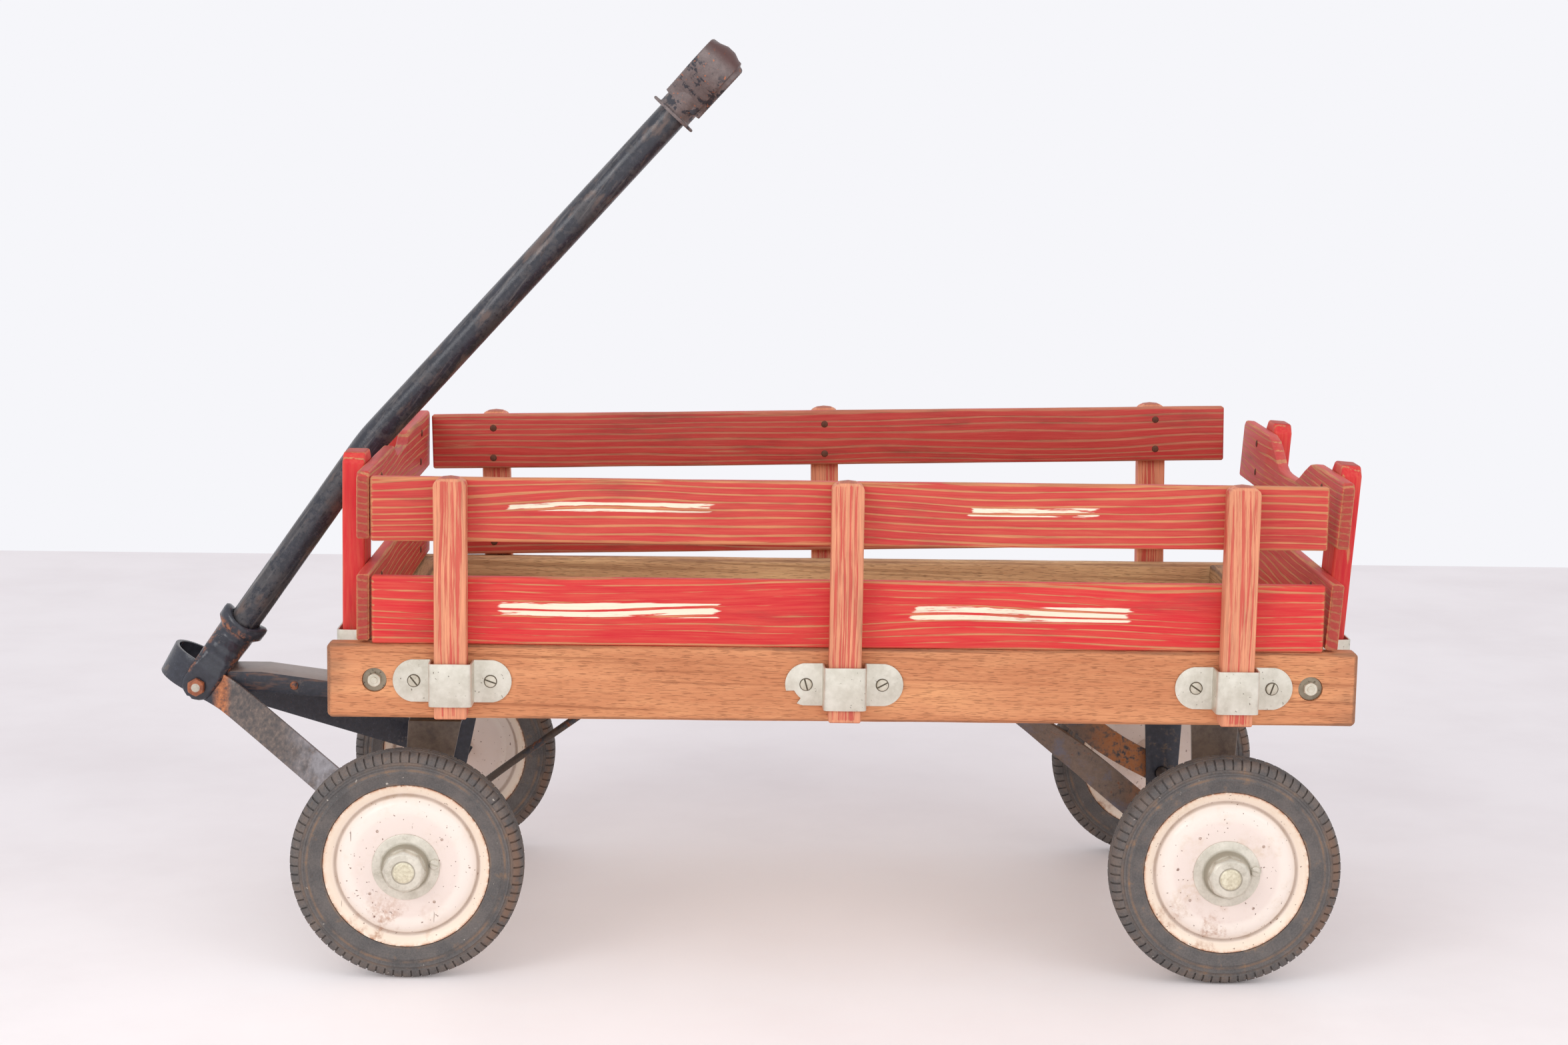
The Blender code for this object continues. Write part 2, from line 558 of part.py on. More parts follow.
def ring_at(radius, z, steps):
    return [(radius * cos(2 * pi * k / steps), radius * sin(2 * pi * k / steps), z) for k in range(steps)]


sleeve_r = TUBE_R + 0.0025
sleeve = loft([ring_at(sleeve_r, WEB[1] - 0.001, socket_steps), ring_at(sleeve_r, SOCKET_END - 0.009, socket_steps),
               ring_at(sleeve_r + 0.0035, SOCKET_END - 0.006, socket_steps),
               ring_at(sleeve_r + 0.0035, SOCKET_END, socket_steps)])
boolean(fork, hide(node("fork_sleeve", sleeve, BLACK_STEEL, handle)), "UNION")
bore = loft([ring_at(TUBE_R + FIT, WEB[1] + 0.0008, socket_steps), ring_at(TUBE_R + FIT, 0.10, socket_steps)])
boolean(fork, hide(node("fork_bore", bore, BLACK_STEEL, handle)))
ear_hole = cutter("fork_hole", handle, -0.06, 0.06, PIVOT_R + FIT, "Y")
boolean(fork, ear_hole)

NUT_R = 0.0088
NUT_FACE = EAR_IN + EAR + GAP
BOLT_HALF = EAR_IN + EAR + 0.0065
bolt_rings = [[(r * cos(2 * pi * k / 12), y, r * sin(2 * pi * k / 12)) for k in range(12)]
              for r, y in ((NUT_R, -BOLT_HALF), (NUT_R, -NUT_FACE), (PIVOT_R, -NUT_FACE),
                           (PIVOT_R, NUT_FACE), (NUT_R, NUT_FACE), (NUT_R, BOLT_HALF))]
node("pivot_bolt", loft(bolt_rings), RUSTY_STEEL, truck, pivot_at)


def tube_axis():
    """Middle line of the handle tube in the handle's own x-z plane, up to the grip."""
    turn_length = BEND_R * tan(BEND_ANGLE / 2)
    centre = Vector((BEND_R, 0, BEND_AT - turn_length))
    points = [Vector((0, 0, TUBE_START))]
    for k in range(6):
        angle = BEND_ANGLE * k / 5
        points.append(centre + BEND_R * Vector((-cos(angle), 0, sin(angle))))
    direction = Vector((sin(BEND_ANGLE), 0, cos(BEND_ANGLE)))
    corner = Vector((0, 0, BEND_AT))
    points.append(corner + direction * (UPPER_LENGTH + NECK_LENGTH - 0.002))
    return points, corner, direction


points, bend_corner, upper_direction = tube_axis()
outside = rod(points, TUBE_R, 18)
inside = rod(points, TUBE_R - TUBE_WALL, 18)
node("handle_tube", loft(outside + inside[::-1], closed=True), WORN_STEEL, handle, smooth=True)

grip_at = bend_corner + upper_direction * UPPER_LENGTH
grip_frame = place("grip_frame", handle, grip_at, (0, BEND_ANGLE, 0))
loop_z = NECK_LENGTH

def both_sides(half_outline):
    """Mirrors an outline's left half, given from the neck outward, into the whole loop."""
    return half_outline + [(-y, z) for y, z in reversed(half_outline)]


side_y = LOOP_HALF_WIDTH
loop_top = loop_z + LOOP_LENGTH
loop_outline = both_sides([(-0.018, 0.018), (-0.030, 0.030), (0.004 - side_y, loop_z + 0.020),
                           (-side_y, loop_z + 0.030), (-side_y, loop_top - 0.012), (0.012 - side_y, loop_top)])
grip = node("handle_grip", prism(loop_outline, -LOOP_DEPTH / 2, LOOP_DEPTH / 2, "X"), RUSTY_STEEL, grip_frame)
LOOP_WALL = 0.0035
inner_y = side_y - LOOP_WALL
hole_outline = both_sides([(-0.026, loop_z + 0.0085), (0.004 - inner_y, loop_z + 0.024), (-inner_y, loop_z + 0.032),
                           (-inner_y, loop_top - 0.016), (0.014 - side_y, loop_top - 0.008)])
boolean(grip, hide(node("finger_hole", prism(hole_outline, -0.1, 0.1, "X"), RUSTY_STEEL, grip_frame)))
neck = loft([ring_at(0.0205, 0.0, socket_steps), ring_at(0.0205, 0.003, socket_steps),
             ring_at(sleeve_r, 0.006, socket_steps), ring_at(sleeve_r, loop_z + 0.004, socket_steps)])
boolean(grip, hide(node("grip_neck", neck, RUSTY_STEEL, grip_frame)), "UNION")
neck_bore = loft([ring_at(TUBE_R + FIT, -0.1, socket_steps), ring_at(TUBE_R + FIT, loop_z, socket_steps)])
boolean(grip, hide(node("grip_bore", neck_bore, RUSTY_STEEL, grip_frame)))


# ---- wheels: a solid tyre on a pressed disc with its hub; the disc's dished face looks outward ----
FLANK = TYRE_HALF_WIDTH
TYRE_PROFILE = [(RIM_R + GAP, -0.0130), (0.087, -FLANK), (0.0985, 0.0020 - FLANK), (WHEEL_R, -0.0080),
                (WHEEL_R, 0.0080), (0.0985, FLANK - 0.0020), (0.087, FLANK), (RIM_R + GAP, 0.0130)]
HUB_R = 0.0160
DISC_PROFILE = [(AXLE_R + FIT, -0.0240), (HUB_R, -0.0240), (HUB_R, -0.0165), (0.0300, -0.0155),
                (0.0560, -0.0135), (0.0625, -0.0070), (0.0660, -0.0120), (RIM_R, -0.0125), (RIM_R, 0.0125),
                (0.0650, 0.0110), (0.0600, 0.0010), (0.0300, -0.0045), (HUB_R, -0.0045), (HUB_R, 0.0240),
                (AXLE_R + FIT, 0.0240)]
for end, parent, wheel_x in (("front", truck, front_axle_at), ("rear", wagon, REAR_AXLE_X)):
    for side, sign in SIDES:
        turn = 0 if sign < 0 else pi
        hub = place(f"wheel_{end}_{side}", parent, (wheel_x, sign * WHEEL_Y, axle_z), (0, 0, turn))
        node(f"tyre_{end}_{side}", turned(TYRE_PROFILE, WHEEL_STEPS), TYRE_RUBBER, hub, smooth=True)
        node(f"disc_{end}_{side}", turned(DISC_PROFILE, WHEEL_STEPS), WHEEL_PAINT, hub, smooth=True)
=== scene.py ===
"""Looks of a child's stake-side pull wagon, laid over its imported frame.

The wagon faces -X: handle and steered wheels at -X, tailgate at +X, and the near side is -Y.
"""
from math import atan2, cos, pi, radians, sin, sqrt

import bpy
from mathutils import Euler, Matrix, Quaternion, Vector


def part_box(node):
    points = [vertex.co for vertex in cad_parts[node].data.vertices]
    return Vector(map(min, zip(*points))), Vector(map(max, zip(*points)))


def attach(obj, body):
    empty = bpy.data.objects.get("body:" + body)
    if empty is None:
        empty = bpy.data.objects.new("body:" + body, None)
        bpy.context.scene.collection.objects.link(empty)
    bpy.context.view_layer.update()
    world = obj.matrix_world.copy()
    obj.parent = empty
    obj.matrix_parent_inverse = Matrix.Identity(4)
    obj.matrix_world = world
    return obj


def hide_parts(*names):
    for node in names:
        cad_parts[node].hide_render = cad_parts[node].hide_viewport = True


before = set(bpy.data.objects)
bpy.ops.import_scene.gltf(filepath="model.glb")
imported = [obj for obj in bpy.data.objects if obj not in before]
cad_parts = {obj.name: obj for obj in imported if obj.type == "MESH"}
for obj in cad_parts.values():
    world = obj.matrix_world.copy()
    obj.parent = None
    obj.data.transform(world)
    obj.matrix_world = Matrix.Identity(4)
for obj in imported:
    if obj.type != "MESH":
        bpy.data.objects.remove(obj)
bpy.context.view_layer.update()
scene = bpy.context.scene


# ---- view: a long lens looking a little down on the near side ----
camera_data = bpy.data.cameras.new("camera")
camera_data.sensor_width = 36.0
camera_data.lens = 61.78
camera = bpy.data.objects.new("camera", camera_data)
scene.collection.objects.link(camera)
VIEW_YAW = radians(1.242)
VIEW_PITCH = radians(8.806)
VIEW_ROLL = radians(0.827)
camera.location = (-0.0144, -2.5351, 0.7727)
forward = Vector((sin(VIEW_YAW) * cos(VIEW_PITCH), cos(VIEW_YAW) * cos(VIEW_PITCH), -sin(VIEW_PITCH)))
camera.rotation_mode = "QUATERNION"
camera.rotation_quaternion = forward.to_track_quat("-Z", "Y") @ Quaternion((0, 0, 1), VIEW_ROLL)
scene.camera = camera
scene.view_settings.view_transform = "Standard"


# ---- studio: a pale floor that ends some way behind, white all round, two big soft lamps ----
class Wire:
    """An output of a shader node, used in sums as if it were a number."""

    def __init__(self, tree, socket=None):
        self.tree = tree
        self.socket = socket

    def node(self, kind, settings=None, inputs=None, output=0):
        """Adds a node of a kind: settings go on the node, inputs on its sockets."""
        made = self.tree.nodes.new("ShaderNode" + kind)
        for name, value in (settings or {}).items():
            setattr(made, name, value)
        for key, value in (inputs or {}).items():
            if isinstance(value, Wire):
                self.tree.links.new(value.socket, made.inputs[key])
            else:
                made.inputs[key].default_value = value
        return Wire(self.tree, made.outputs[output])

    def math(self, operation, *values):
        return self.node("Math", {"operation": operation}, dict(enumerate(values)))

    def __add__(self, other):
        return self.math("ADD", self, other)

    def __sub__(self, other):
        return self.math("SUBTRACT", self, other)

    def __rsub__(self, other):
        return self.math("SUBTRACT", other, self)

    def __mul__(self, other):
        return self.math("MULTIPLY", self, other)

    def __abs__(self):
        return self.math("ABSOLUTE", self)

    __radd__ = __add__
    __rmul__ = __mul__

    def lesser(self, other):
        return self.math("MINIMUM", self, other)

    def greater(self, other):
        return self.math("MAXIMUM", self, other)

    def between(self, low, high):
        """0 below low, 1 above high and a smooth rise from one to the other."""
        return self.node("MapRange", {"interpolation_type": "SMOOTHSTEP"},
                         {"Value": self, "From Min": low, "From Max": high})

    def choose(self, colour_at_0, colour_at_1):
        """A colour between two, by this value."""
        return self.node("Mix", {"data_type": "RGBA"}, {0: self, 6: colour_at_0, 7: colour_at_1}, 2)

    def axis(self, letter):
        """One coordinate of this place."""
        return self.node("SeparateXYZ", {}, {"Vector": self}, "XYZ".index(letter))

    def facing(self, letter):
        """How far the surface faces along an axis, from -1 to 1."""
        return self.node("TexCoord", output=1).axis(letter)

    def centred(self, centre, turn=(0, 0, 0)):
        """These coordinates from a piece's middle, turned to lie along it."""
        return self.node("Mapping", {"vector_type": "TEXTURE"},
                         {"Vector": self, "Location": centre, "Rotation": turn})

    def stretched(self, x, y, z, shift=0.0):
        """These coordinates scaled for a pattern and moved to another part of it."""
        return self.node("Mapping", {}, {"Vector": self, "Scale": (x, y, z),
                                         "Location": (shift, 1.7 * shift, shift)})

    def noise(self, scale=1.0, detail=2.0, roughness=0.5):
        """Cloudy noise round 0.5 at these coordinates."""
        return self.node("TexNoise", {}, {"Vector": self, "Scale": scale, "Detail": detail,
                                          "Roughness": roughness})


def colour(red, green, blue):
    """A screen colour of 0 to 255 as the light it stands for."""
    parts = [level / 255 for level in (red, green, blue)]
    return (*(part / 12.92 if part < 0.0404 else ((part + 0.055) / 1.055) ** 2.4 for part in parts), 1.0)


def tint(paint, *factors):
    """A colour made darker or lighter, by one factor or by one for each of red, green and blue."""
    factors = factors * 3 if len(factors) == 1 else factors
    return (*(min(level * factor, 1.0) for level, factor in zip(paint, factors)), 1.0)


def new_material(name):
    """A material with its place on the object as a wire, and its main shader."""
    material = bpy.data.materials.new(name)
    material.use_nodes = True
    place = Wire(material.node_tree).node("TexCoord", output=3)
    return material, place, material.node_tree.nodes["Principled BSDF"]


def lay(shader, place, base, roughness, height=None, depth=0.0005, metallic=None, coat=None):
    """Wires a finish into a shader; height is raised by depth metres where it is 1."""
    wires = {"Base Color": base, "Roughness": roughness, "Metallic": metallic, "Coat Weight": coat}
    for name, wire in wires.items():
        if isinstance(wire, Wire):
            place.tree.links.new(wire.socket, shader.inputs[name])
        elif wire is not None:
            shader.inputs[name].default_value = wire
    if height is not None:
        bump = place.node("Bump", {}, {"Height": height, "Distance": depth, "Strength": 1.0})
        place.tree.links.new(bump.socket, shader.inputs["Normal"])


FLOOR_BACK = 2.04
FLOOR_WIDE = 12.0
FLOOR_DEEP = 10.0
bpy.ops.object.select_all(action="DESELECT")
bpy.ops.mesh.primitive_plane_add(size=1)
floor = bpy.context.object
floor.name = "floor"
floor.data.transform(Matrix.Translation((0, FLOOR_BACK - FLOOR_DEEP / 2, 0))
                     @ Matrix.Diagonal((FLOOR_WIDE, FLOOR_DEEP, 1, 1)))
floor_paint, floor_place, floor_shader = new_material("floor_paint")
scuffs = floor_place.noise(3.0, 6.0, 0.6).between(0.35, 0.75)
# painted light and shade: the floor is painted lighter towards the front and darker towards the back
near = 1 - floor_place.axis("Y").between(-0.9, 0.6)
plain = near.choose(colour(236, 230, 231), colour(252, 246, 244))
worn_floor = near.choose(colour(229, 222, 223), colour(245, 238, 236))
# painted light: the floor glows under the bed, standing in for light that white walls would throw back
PAINTED_UNDER_GLOW = (0.20, 0.185, 0.185, 1.0)
under = 1 - abs(floor_place.axis("X") + 0.02).between(0.10, 0.85)
under = under * (1 - abs(floor_place.axis("Y") + 0.06).between(0.05, 0.62))
glow = under.choose((0.0, 0.0, 0.0, 1.0), PAINTED_UNDER_GLOW)
floor_place.tree.links.new(glow.socket, floor_shader.inputs["Emission Color"])
floor_shader.inputs["Emission Strength"].default_value = 1.0
floor_shader.inputs["Specular IOR Level"].default_value = 0.25
lay(floor_shader, floor_place, scuffs.choose(plain, worn_floor), 0.6)
floor.data.materials.append(floor_paint)

world = bpy.data.worlds.new("studio")
world.use_nodes = True
world.node_tree.nodes["Background"].inputs["Color"].default_value = colour(246, 246, 250)
world.node_tree.nodes["Background"].inputs["Strength"].default_value = 1.0
scene.world = world


def lamp(name, place, aim, size, power):
    """A square soft lamp at a place, turned towards a point."""
    data = bpy.data.lights.new(name, "AREA")
    data.shape = "SQUARE"
    data.size = size
    data.energy = power
    made = bpy.data.objects.new(name, data)
    made.location = place
    made.rotation_mode = "QUATERNION"
    made.rotation_quaternion = (Vector(aim) - Vector(place)).to_track_quat("-Z", "Y")
    scene.collection.objects.link(made)


lamp("soft_left", (-2.2, -2.8, 2.3), (0, 0, 0.3), 1.6, 31)
lamp("soft_right", (2.4, -2.4, 2.0), (0, 0, 0.3), 1.6, 14)
lamp("soft_low", (0.2, -3.4, 1.1), (0, -0.2, 0.0), 2.0, 8)


# ---- bed: two sills bolted to end boards, a floor of three boards and a packing block ----
# All are sawn hardwood, oiled and never painted: orange-brown outside with short dark pores,
# dull and grey-brown inside. The edges are worn round and paler.
def worked(piece, kind, **settings):
    """Adds a modifier with these settings to a piece and applies it."""
    added = piece.modifiers.new(kind.lower(), kind)
    for name, value in settings.items():
        setattr(added, name, value)
    bpy.context.view_layer.objects.active = piece
    bpy.ops.object.modifier_apply(modifier=added.name)


def settle(piece, body, slot, *materials):
    """Gives a finished piece its materials and the body it moves with; slot is not used."""
    if materials:
        piece.data.materials.clear()
    for material in materials:
        piece.data.materials.append(material)
    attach(piece, body)


def worn_copy(node, name, rounding=0.0006, segments=2, slices=0.03):
    """A CAD node copied, its triangles joined, its edges rounded and its faces left a little uneven."""
    bpy.ops.object.select_all(action="DESELECT")
    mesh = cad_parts[node].data.copy()
    piece = bpy.data.objects.new(name, mesh)
    scene.collection.objects.link(piece)
    bpy.context.view_layer.objects.active = piece
    piece.select_set(True)
    mesh.materials.clear()
    bpy.ops.object.mode_set(mode="EDIT")
    bpy.ops.mesh.select_all(action="SELECT")
    bpy.ops.mesh.remove_doubles(threshold=0.00002)
    bpy.ops.mesh.dissolve_limited(angle_limit=radians(0.5))
    low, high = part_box(node)
    long_axis = max(range(3), key=lambda i: high[i] - low[i])
    normal = [0.0, 0.0, 0.0]
    normal[long_axis] = 1.0
    place = low[long_axis] + slices if slices else high[long_axis]
    while place < high[long_axis] - slices / 2:
        bpy.ops.mesh.select_all(action="SELECT")
        point = [0.0, 0.0, 0.0]
        point[long_axis] = place
        bpy.ops.mesh.bisect(plane_co=point, plane_no=normal)
        place += slices
    bpy.ops.object.mode_set(mode="OBJECT")
    if slices:
        worked(piece, "DISPLACE", texture=unevenness, texture_coords="LOCAL", strength=0.0009)
    mesh.shade_smooth()
    worked(piece, "BEVEL", width=rounding, segments=segments, limit_method="ANGLE", angle_limit=radians(28),
           harden_normals=True)
    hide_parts(node)
    return piece


unevenness = bpy.data.textures.new("unevenness", "CLOUDS")
unevenness.noise_scale = 0.07


def grain_place(place, centre, turn, order, seed):
    """Coordinates along the grain, across it and through the board, from the board's middle."""
    own = place.centred(centre, turn)
    split = [own.axis(axis) for axis in order]
    grain = own.node("CombineXYZ", {}, {0: split[0] + seed * 0.37, 1: split[1] + seed * 0.053,
                                        2: split[2]})
    return split, grain


def worn_edge(split, half, reach):
    """1 on the board's edges, falling to 0 at reach from them: the second nearest side is the edge."""
    gaps = [size - abs(axis) for axis, size in zip(split, half)]
    second = gaps[0].lesser(gaps[1]).greater(gaps[0].greater(gaps[1]).lesser(gaps[2]))
    return 1 - second.between(0.0, reach)


def bare_wood(name, node, order, seed, light, dark, stain, turn=(0, 0, 0)):
    """Oiled wood: pale and dark growth bands, short pores along the grain, grey weathering."""
    low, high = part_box(node)
    centre = (low + high) / 2
    size = (high - low) / 2
    half = [size["XYZ".index(axis)] for axis in order]
    material, place, shader = new_material(name)
    split, grain = grain_place(place, centre, turn, order, seed)
    slant = grain.node("Mapping", {}, {"Vector": grain, "Rotation": (0, 0, 0.028)})
    broad = slant.stretched(1.7, 60, 40).noise(1.0, 4.0, 0.55)
    line = slant.stretched(3.0, 230, 120, 2.0).noise(1.0, 4.0, 0.6)
    fibre = slant.stretched(34, 900, 600, 1.0).noise(1.0, 4.0, 0.7)
    pores = grain.stretched(90, 1400, 1500, 3.0).noise(1.0, 1.0, 0.5).between(0.58, 0.70)
    cloud = grain.stretched(6, 24, 24, 5.0).noise(1.0, 3.0, 0.6)
    edge = worn_edge(split, half, 0.005)
    ends = abs(split[0]).between(half[0] - 0.035, half[0] - 0.004)
    tone = (broad * 0.55 + fibre * 0.55 + cloud * 0.45 - 0.28).between(0.12, 0.82)
    base = tone.choose(dark, light)
    base = (cloud.between(0.50, 0.72) * 0.5).choose(base, tint(light, 1.08, 1.16, 1.10))
    dark_line = line.between(0.54, 0.66)
    base = (dark_line * 0.55).choose(base, tint(dark, 0.66, 0.62, 0.58))
    base = (pores * 0.50).choose(base, tint(dark, 0.45, 0.40, 0.38))
    weather = grain.stretched(5, 30, 30, 9.0).noise(1.0, 4.0, 0.65)
    dirt = (edge * 0.45 + ends * 0.22 + weather).between(0.60, 1.00)
    base = (dirt * 0.75).choose(base, stain)
    rough = 0.52 + fibre * 0.25
    shader.inputs["Specular IOR Level"].default_value = 0.3
    lay(shader, place, base, rough, fibre * 0.6 - dark_line * 0.3 - pores * 0.4, 0.0006)
    return material


SILL_LIGHT = colour(226, 158, 112)
SILL_DARK = colour(182, 110, 72)
SILL_STAIN = colour(136, 96, 72)
INSIDE_LIGHT = colour(204, 166, 124)
INSIDE_DARK = colour(158, 120, 84)
INSIDE_STAIN = colour(104, 82, 64)

AGED_LIGHT = colour(230, 188, 140)
AGED_DARK = colour(186, 142, 102)

sills = {}
for side, seed, light, dark in (("near", 3, SILL_LIGHT, SILL_DARK), ("far", 4, AGED_LIGHT, AGED_DARK)):
    sills[side] = worn_copy(f"sill_{side}", f"sill_plank_{side}", 0.0012, 3)
    settle(sills[side], "wagon", "bare_wood",
           bare_wood(f"sill_wood_{side}", f"sill_{side}", "XZY", seed, light, dark, SILL_STAIN))

inside_boards = (("end_board_front", "YZX"), ("end_board_rear", "YZX"), ("floor_board_1", "XYZ"),
                 ("floor_board_2", "XYZ"), ("floor_board_3", "XYZ"), ("front_bolster_block", "YXZ"))
for seed, (node, order) in enumerate(inside_boards, 11):
    board = worn_copy(node, node + "_plank", slices=0.05)
    settle(board, "wagon", "bare_wood",
           bare_wood(node + "_wood", node, order, seed, INSIDE_LIGHT, INSIDE_DARK, INSIDE_STAIN))


# ---- side racks: painted rails nailed inside bare stakes ----
# Softwood rails under one coat of red that has worn off along the hard growth lines and the
# edges; the stakes were handled most and keep only traces of red.
def painted_wood(name, node, order, seed, paint, wood, cover, turn, grime, size_of, spacing=0.0065,
                 stripes=(), rings=0.42):
    """Red paint over wood, worn through along its growth lines, which lie spacing apart.

    cover is how much paint is left, and rings how clearly the growth lines show. size_of is a node
    of the board's true size, for one that leans. stripes are cream bands painted over the red:
    (middle along, half length, middle across, half width) in metres.
    """
    low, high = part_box(node)
    centre = (low + high) / 2
    low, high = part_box(size_of)
    size = (high - low) / 2
    half = [size["XYZ".index(axis)] for axis in order]
    material, place, shader = new_material(name)
    split, grain = grain_place(place, centre, turn, order, seed)
    drift = grain.stretched(2.2, 12, 12, 1.0).noise(1.0, 2.0, 0.5)
    across = split[1] + drift * 0.034 + seed * 0.053
    warped = grain.node("CombineXYZ", {}, {0: split[0] + seed * 0.37, 1: across, 2: split[2]})
    pitch = grain.stretched(0.5, 34, 34, 8.0).noise(1.0, 1.0, 0.5)
    ring = place.math("SINE", across * (2 * pi / spacing) + pitch * 7.0).between(0.30, 1.0)
    streak = warped.stretched(3.4, 1.3 / spacing, 40, 2.0).noise(1.0, 3.0, 0.6)
    fibre = warped.stretched(20, 820, 400, 3.0).noise(1.0, 4.0, 0.65)
    broken = grain.stretched(14, 170, 170, 4.0).noise(1.0, 4.0, 0.65)
    patch = grain.stretched(3.2, 20, 20, 7.0).noise(1.0, 3.0, 0.6)
    edge = worn_edge(split, half, 0.0040)
    wear = ring * rings + streak * 0.62 + broken * 0.45 + fibre * 0.50 + patch * 0.42 + edge * 0.42
    bare = wear.between(0.97 + cover * 0.50, 1.09 + cover * 0.50)
    thin = (fibre * 0.8 + broken * 0.5 + streak * 0.4 + edge * 0.2).between(0.60, 1.15)
    faded = tuple(a * 0.66 + b * 0.34 for a, b in zip(paint, wood))
    deep = tint(paint, 0.80)
    coat_colour = (patch.between(0.36, 0.56) * 0.45).choose(deep, paint)
    coat_colour = (thin * 0.8).choose(coat_colour, faded)
    for along, half_long, across_middle, half_wide in stripes:
        ragged = broken * 0.030 + streak * 0.024 - 0.027
        inside = 1 - (abs(split[0] - along) + ragged).between(half_long - 0.003, half_long)
        off_middle = abs(split[1] - across_middle) + fibre * 0.003
        inside = inside * (1 - off_middle.between(half_wide, half_wide + 0.0006))
        flaked = (wear + broken * 0.35).between(1.10 + cover * 0.22, 1.15 + cover * 0.22)
        coat_colour = (inside * (1 - flaked)).choose(
            coat_colour, fibre.choose(colour(230, 216, 186), colour(248, 240, 218)))
    timber = (fibre * 0.8 + broken * 0.4).between(0.28, 0.84).choose(
        tint(wood, 0.60), tint(wood, 1.12))
    base = (bare * 0.92).choose(coat_colour, timber)
    sawn = abs(split[0]).between(half[0] - 0.0012, half[0] - 0.0005)
    base = (sawn * 0.55).choose(base, colour(138, 58, 48))
    dirt = grain.stretched(6, 34, 34, 11.0).noise(1.0, 5.0, 0.7).between(0.50, 0.78) * grime
    base = dirt.choose(base, colour(104, 62, 50))
    rough = 0.44 + bare * 0.20 + fibre * 0.12
    shader.inputs["Specular IOR Level"].default_value = 0.3
    lay(shader, place, base, rough, fibre * 0.45 + streak * 0.4 - bare * 0.30, 0.0006)
    return material


PAINT_BRIGHT = colour(224, 38, 50)
PAINT_DULL = colour(208, 56, 58)
PAINT_DARK = colour(206, 62, 60)
PINE = colour(208, 138, 96)
PINE_DULL = colour(196, 122, 94)
STAKE_PINE = colour(226, 154, 118)
STAKE_RED = colour(214, 92, 78)
RACK_TURN = {"near": (0, 0, 0), "far": (0, -radians(1.3), 0)}
rail_looks = {"near_lower": (PAINT_BRIGHT, PINE, 0.72), "near_upper": (PAINT_DULL, PINE, 0.42),
              "far_lower": (PAINT_DARK, PINE_DULL, 0.40), "far_upper": (PAINT_DARK, PINE_DULL, 0.36)}
CREAM_STRIPES = {"near_upper": [(-0.2075, 0.088, 0.0040, 0.0052), (0.1560, 0.053, 0.0035, 0.0052)],
                 "near_lower": [(-0.2100, 0.096, 0.0020, 0.0075), (0.1480, 0.096, 0.0020, 0.0075)]}
for side, far in (("near", 0), ("far", 5)):
    for seed, level in enumerate(("lower", "upper")):
        node = f"rack_{side}_{level}_rail"
        rail = worn_copy(node, f"rail_{side}_{level}", 0.0007)
        paint, wood, cover = rail_looks[f"{side}_{level}"]
        settle(rail, f"{side}_rack", "red_wood",
               painted_wood(f"rail_paint_{side}_{level}", node, "XZY", 21 + seed + far, paint, wood, cover,
                            RACK_TURN[side], 0.55 if far else 0.42, f"rack_near_{level}_rail",
                            stripes=CREAM_STRIPES.get(f"{side}_{level}", ())))
    for number in (1, 2, 3):
        node = f"rack_{side}_stake_{number}"
        stake = worn_copy(node, f"stake_{side}_{number}", 0.0028, 3)
        settle(stake, f"{side}_rack", "stake_wood",
               painted_wood(f"stake_paint_{side}_{number}", node, "ZXY", 31 + number + far, STAKE_RED,
                            STAKE_PINE, -0.06, RACK_TURN[side], 0.40, f"rack_near_stake_{number}",
                            0.0048, rings=0.12))


# ---- end gates: two painted cross boards nailed to two posts ----
# The same pine and red paint as the racks; the top edges, where hands lift them, are worn bare.
GATE_TURN = {"front": (0, radians(0.5), 0), "rear": (0, radians(3.7), -radians(0.5))}
post_look = ("ZYX", PAINT_BRIGHT, 0.74)
board_look = ("YZX", PAINT_DULL, 0.50)
for end, body, first_seed in (("front", "wagon", 41), ("rear", "rear_gate", 48)):
    for seed, level in enumerate(("lower_board", "upper_board", "post_near", "post_far"), first_seed):
        node = f"gate_{end}_{level}"
        order, paint, cover = post_look if level.startswith("post") else board_look
        board = worn_copy(node, f"{end}_gate_{level}", 0.0008 if level == "lower_board" else 0.0025, 3)
        settle(board, body, "red_wood",
               painted_wood(f"{end}_gate_paint_{level}", node, order, seed, paint, PINE, cover,
                            GATE_TURN[end], 0.45, f"gate_front_{level}"))


# ---- pockets: bent galvanised strips with round ears, screwed to the sills and end boards ----
# Each is one flat strip pressed out into a box for a stake or post. The zinc has gone dull, with
# pale bloom and small dark pits; two slotted screws hold it.
def galvanised(name, light, dark, seed, pit=0.66):
    material, place, shader = new_material(name)
    cloud = place.stretched(60, 60, 60, seed).noise(1.0, 4.0, 0.6)
    spangle = place.node("TexVoronoi", {}, {"Vector": place, "Scale": 320.0}, 1)
    grey = place.node("RGBToBW", {}, {0: spangle})
    pits = place.stretched(330, 330, 330, seed + 2).noise(1.0, 2.0, 0.6).between(pit + 0.03, pit + 0.08)
    stain = place.stretched(38, 38, 38, seed + 4).noise(1.0, 5.0, 0.65).between(0.56, 0.78)
    base = (cloud * 0.9 + grey * 0.10).between(0.10, 0.90).choose(dark, light)
    base = (stain * 0.28).choose(base, colour(166, 158, 134))
    base = (pits * 0.8).choose(base, colour(92, 82, 66))
    lay(shader, place, base, 0.34 + cloud * 0.22 + stain * 0.15, cloud * 0.4 - pits * 0.6, 0.0003,
        0.62 - 0.5 * (stain + pits))
    return material


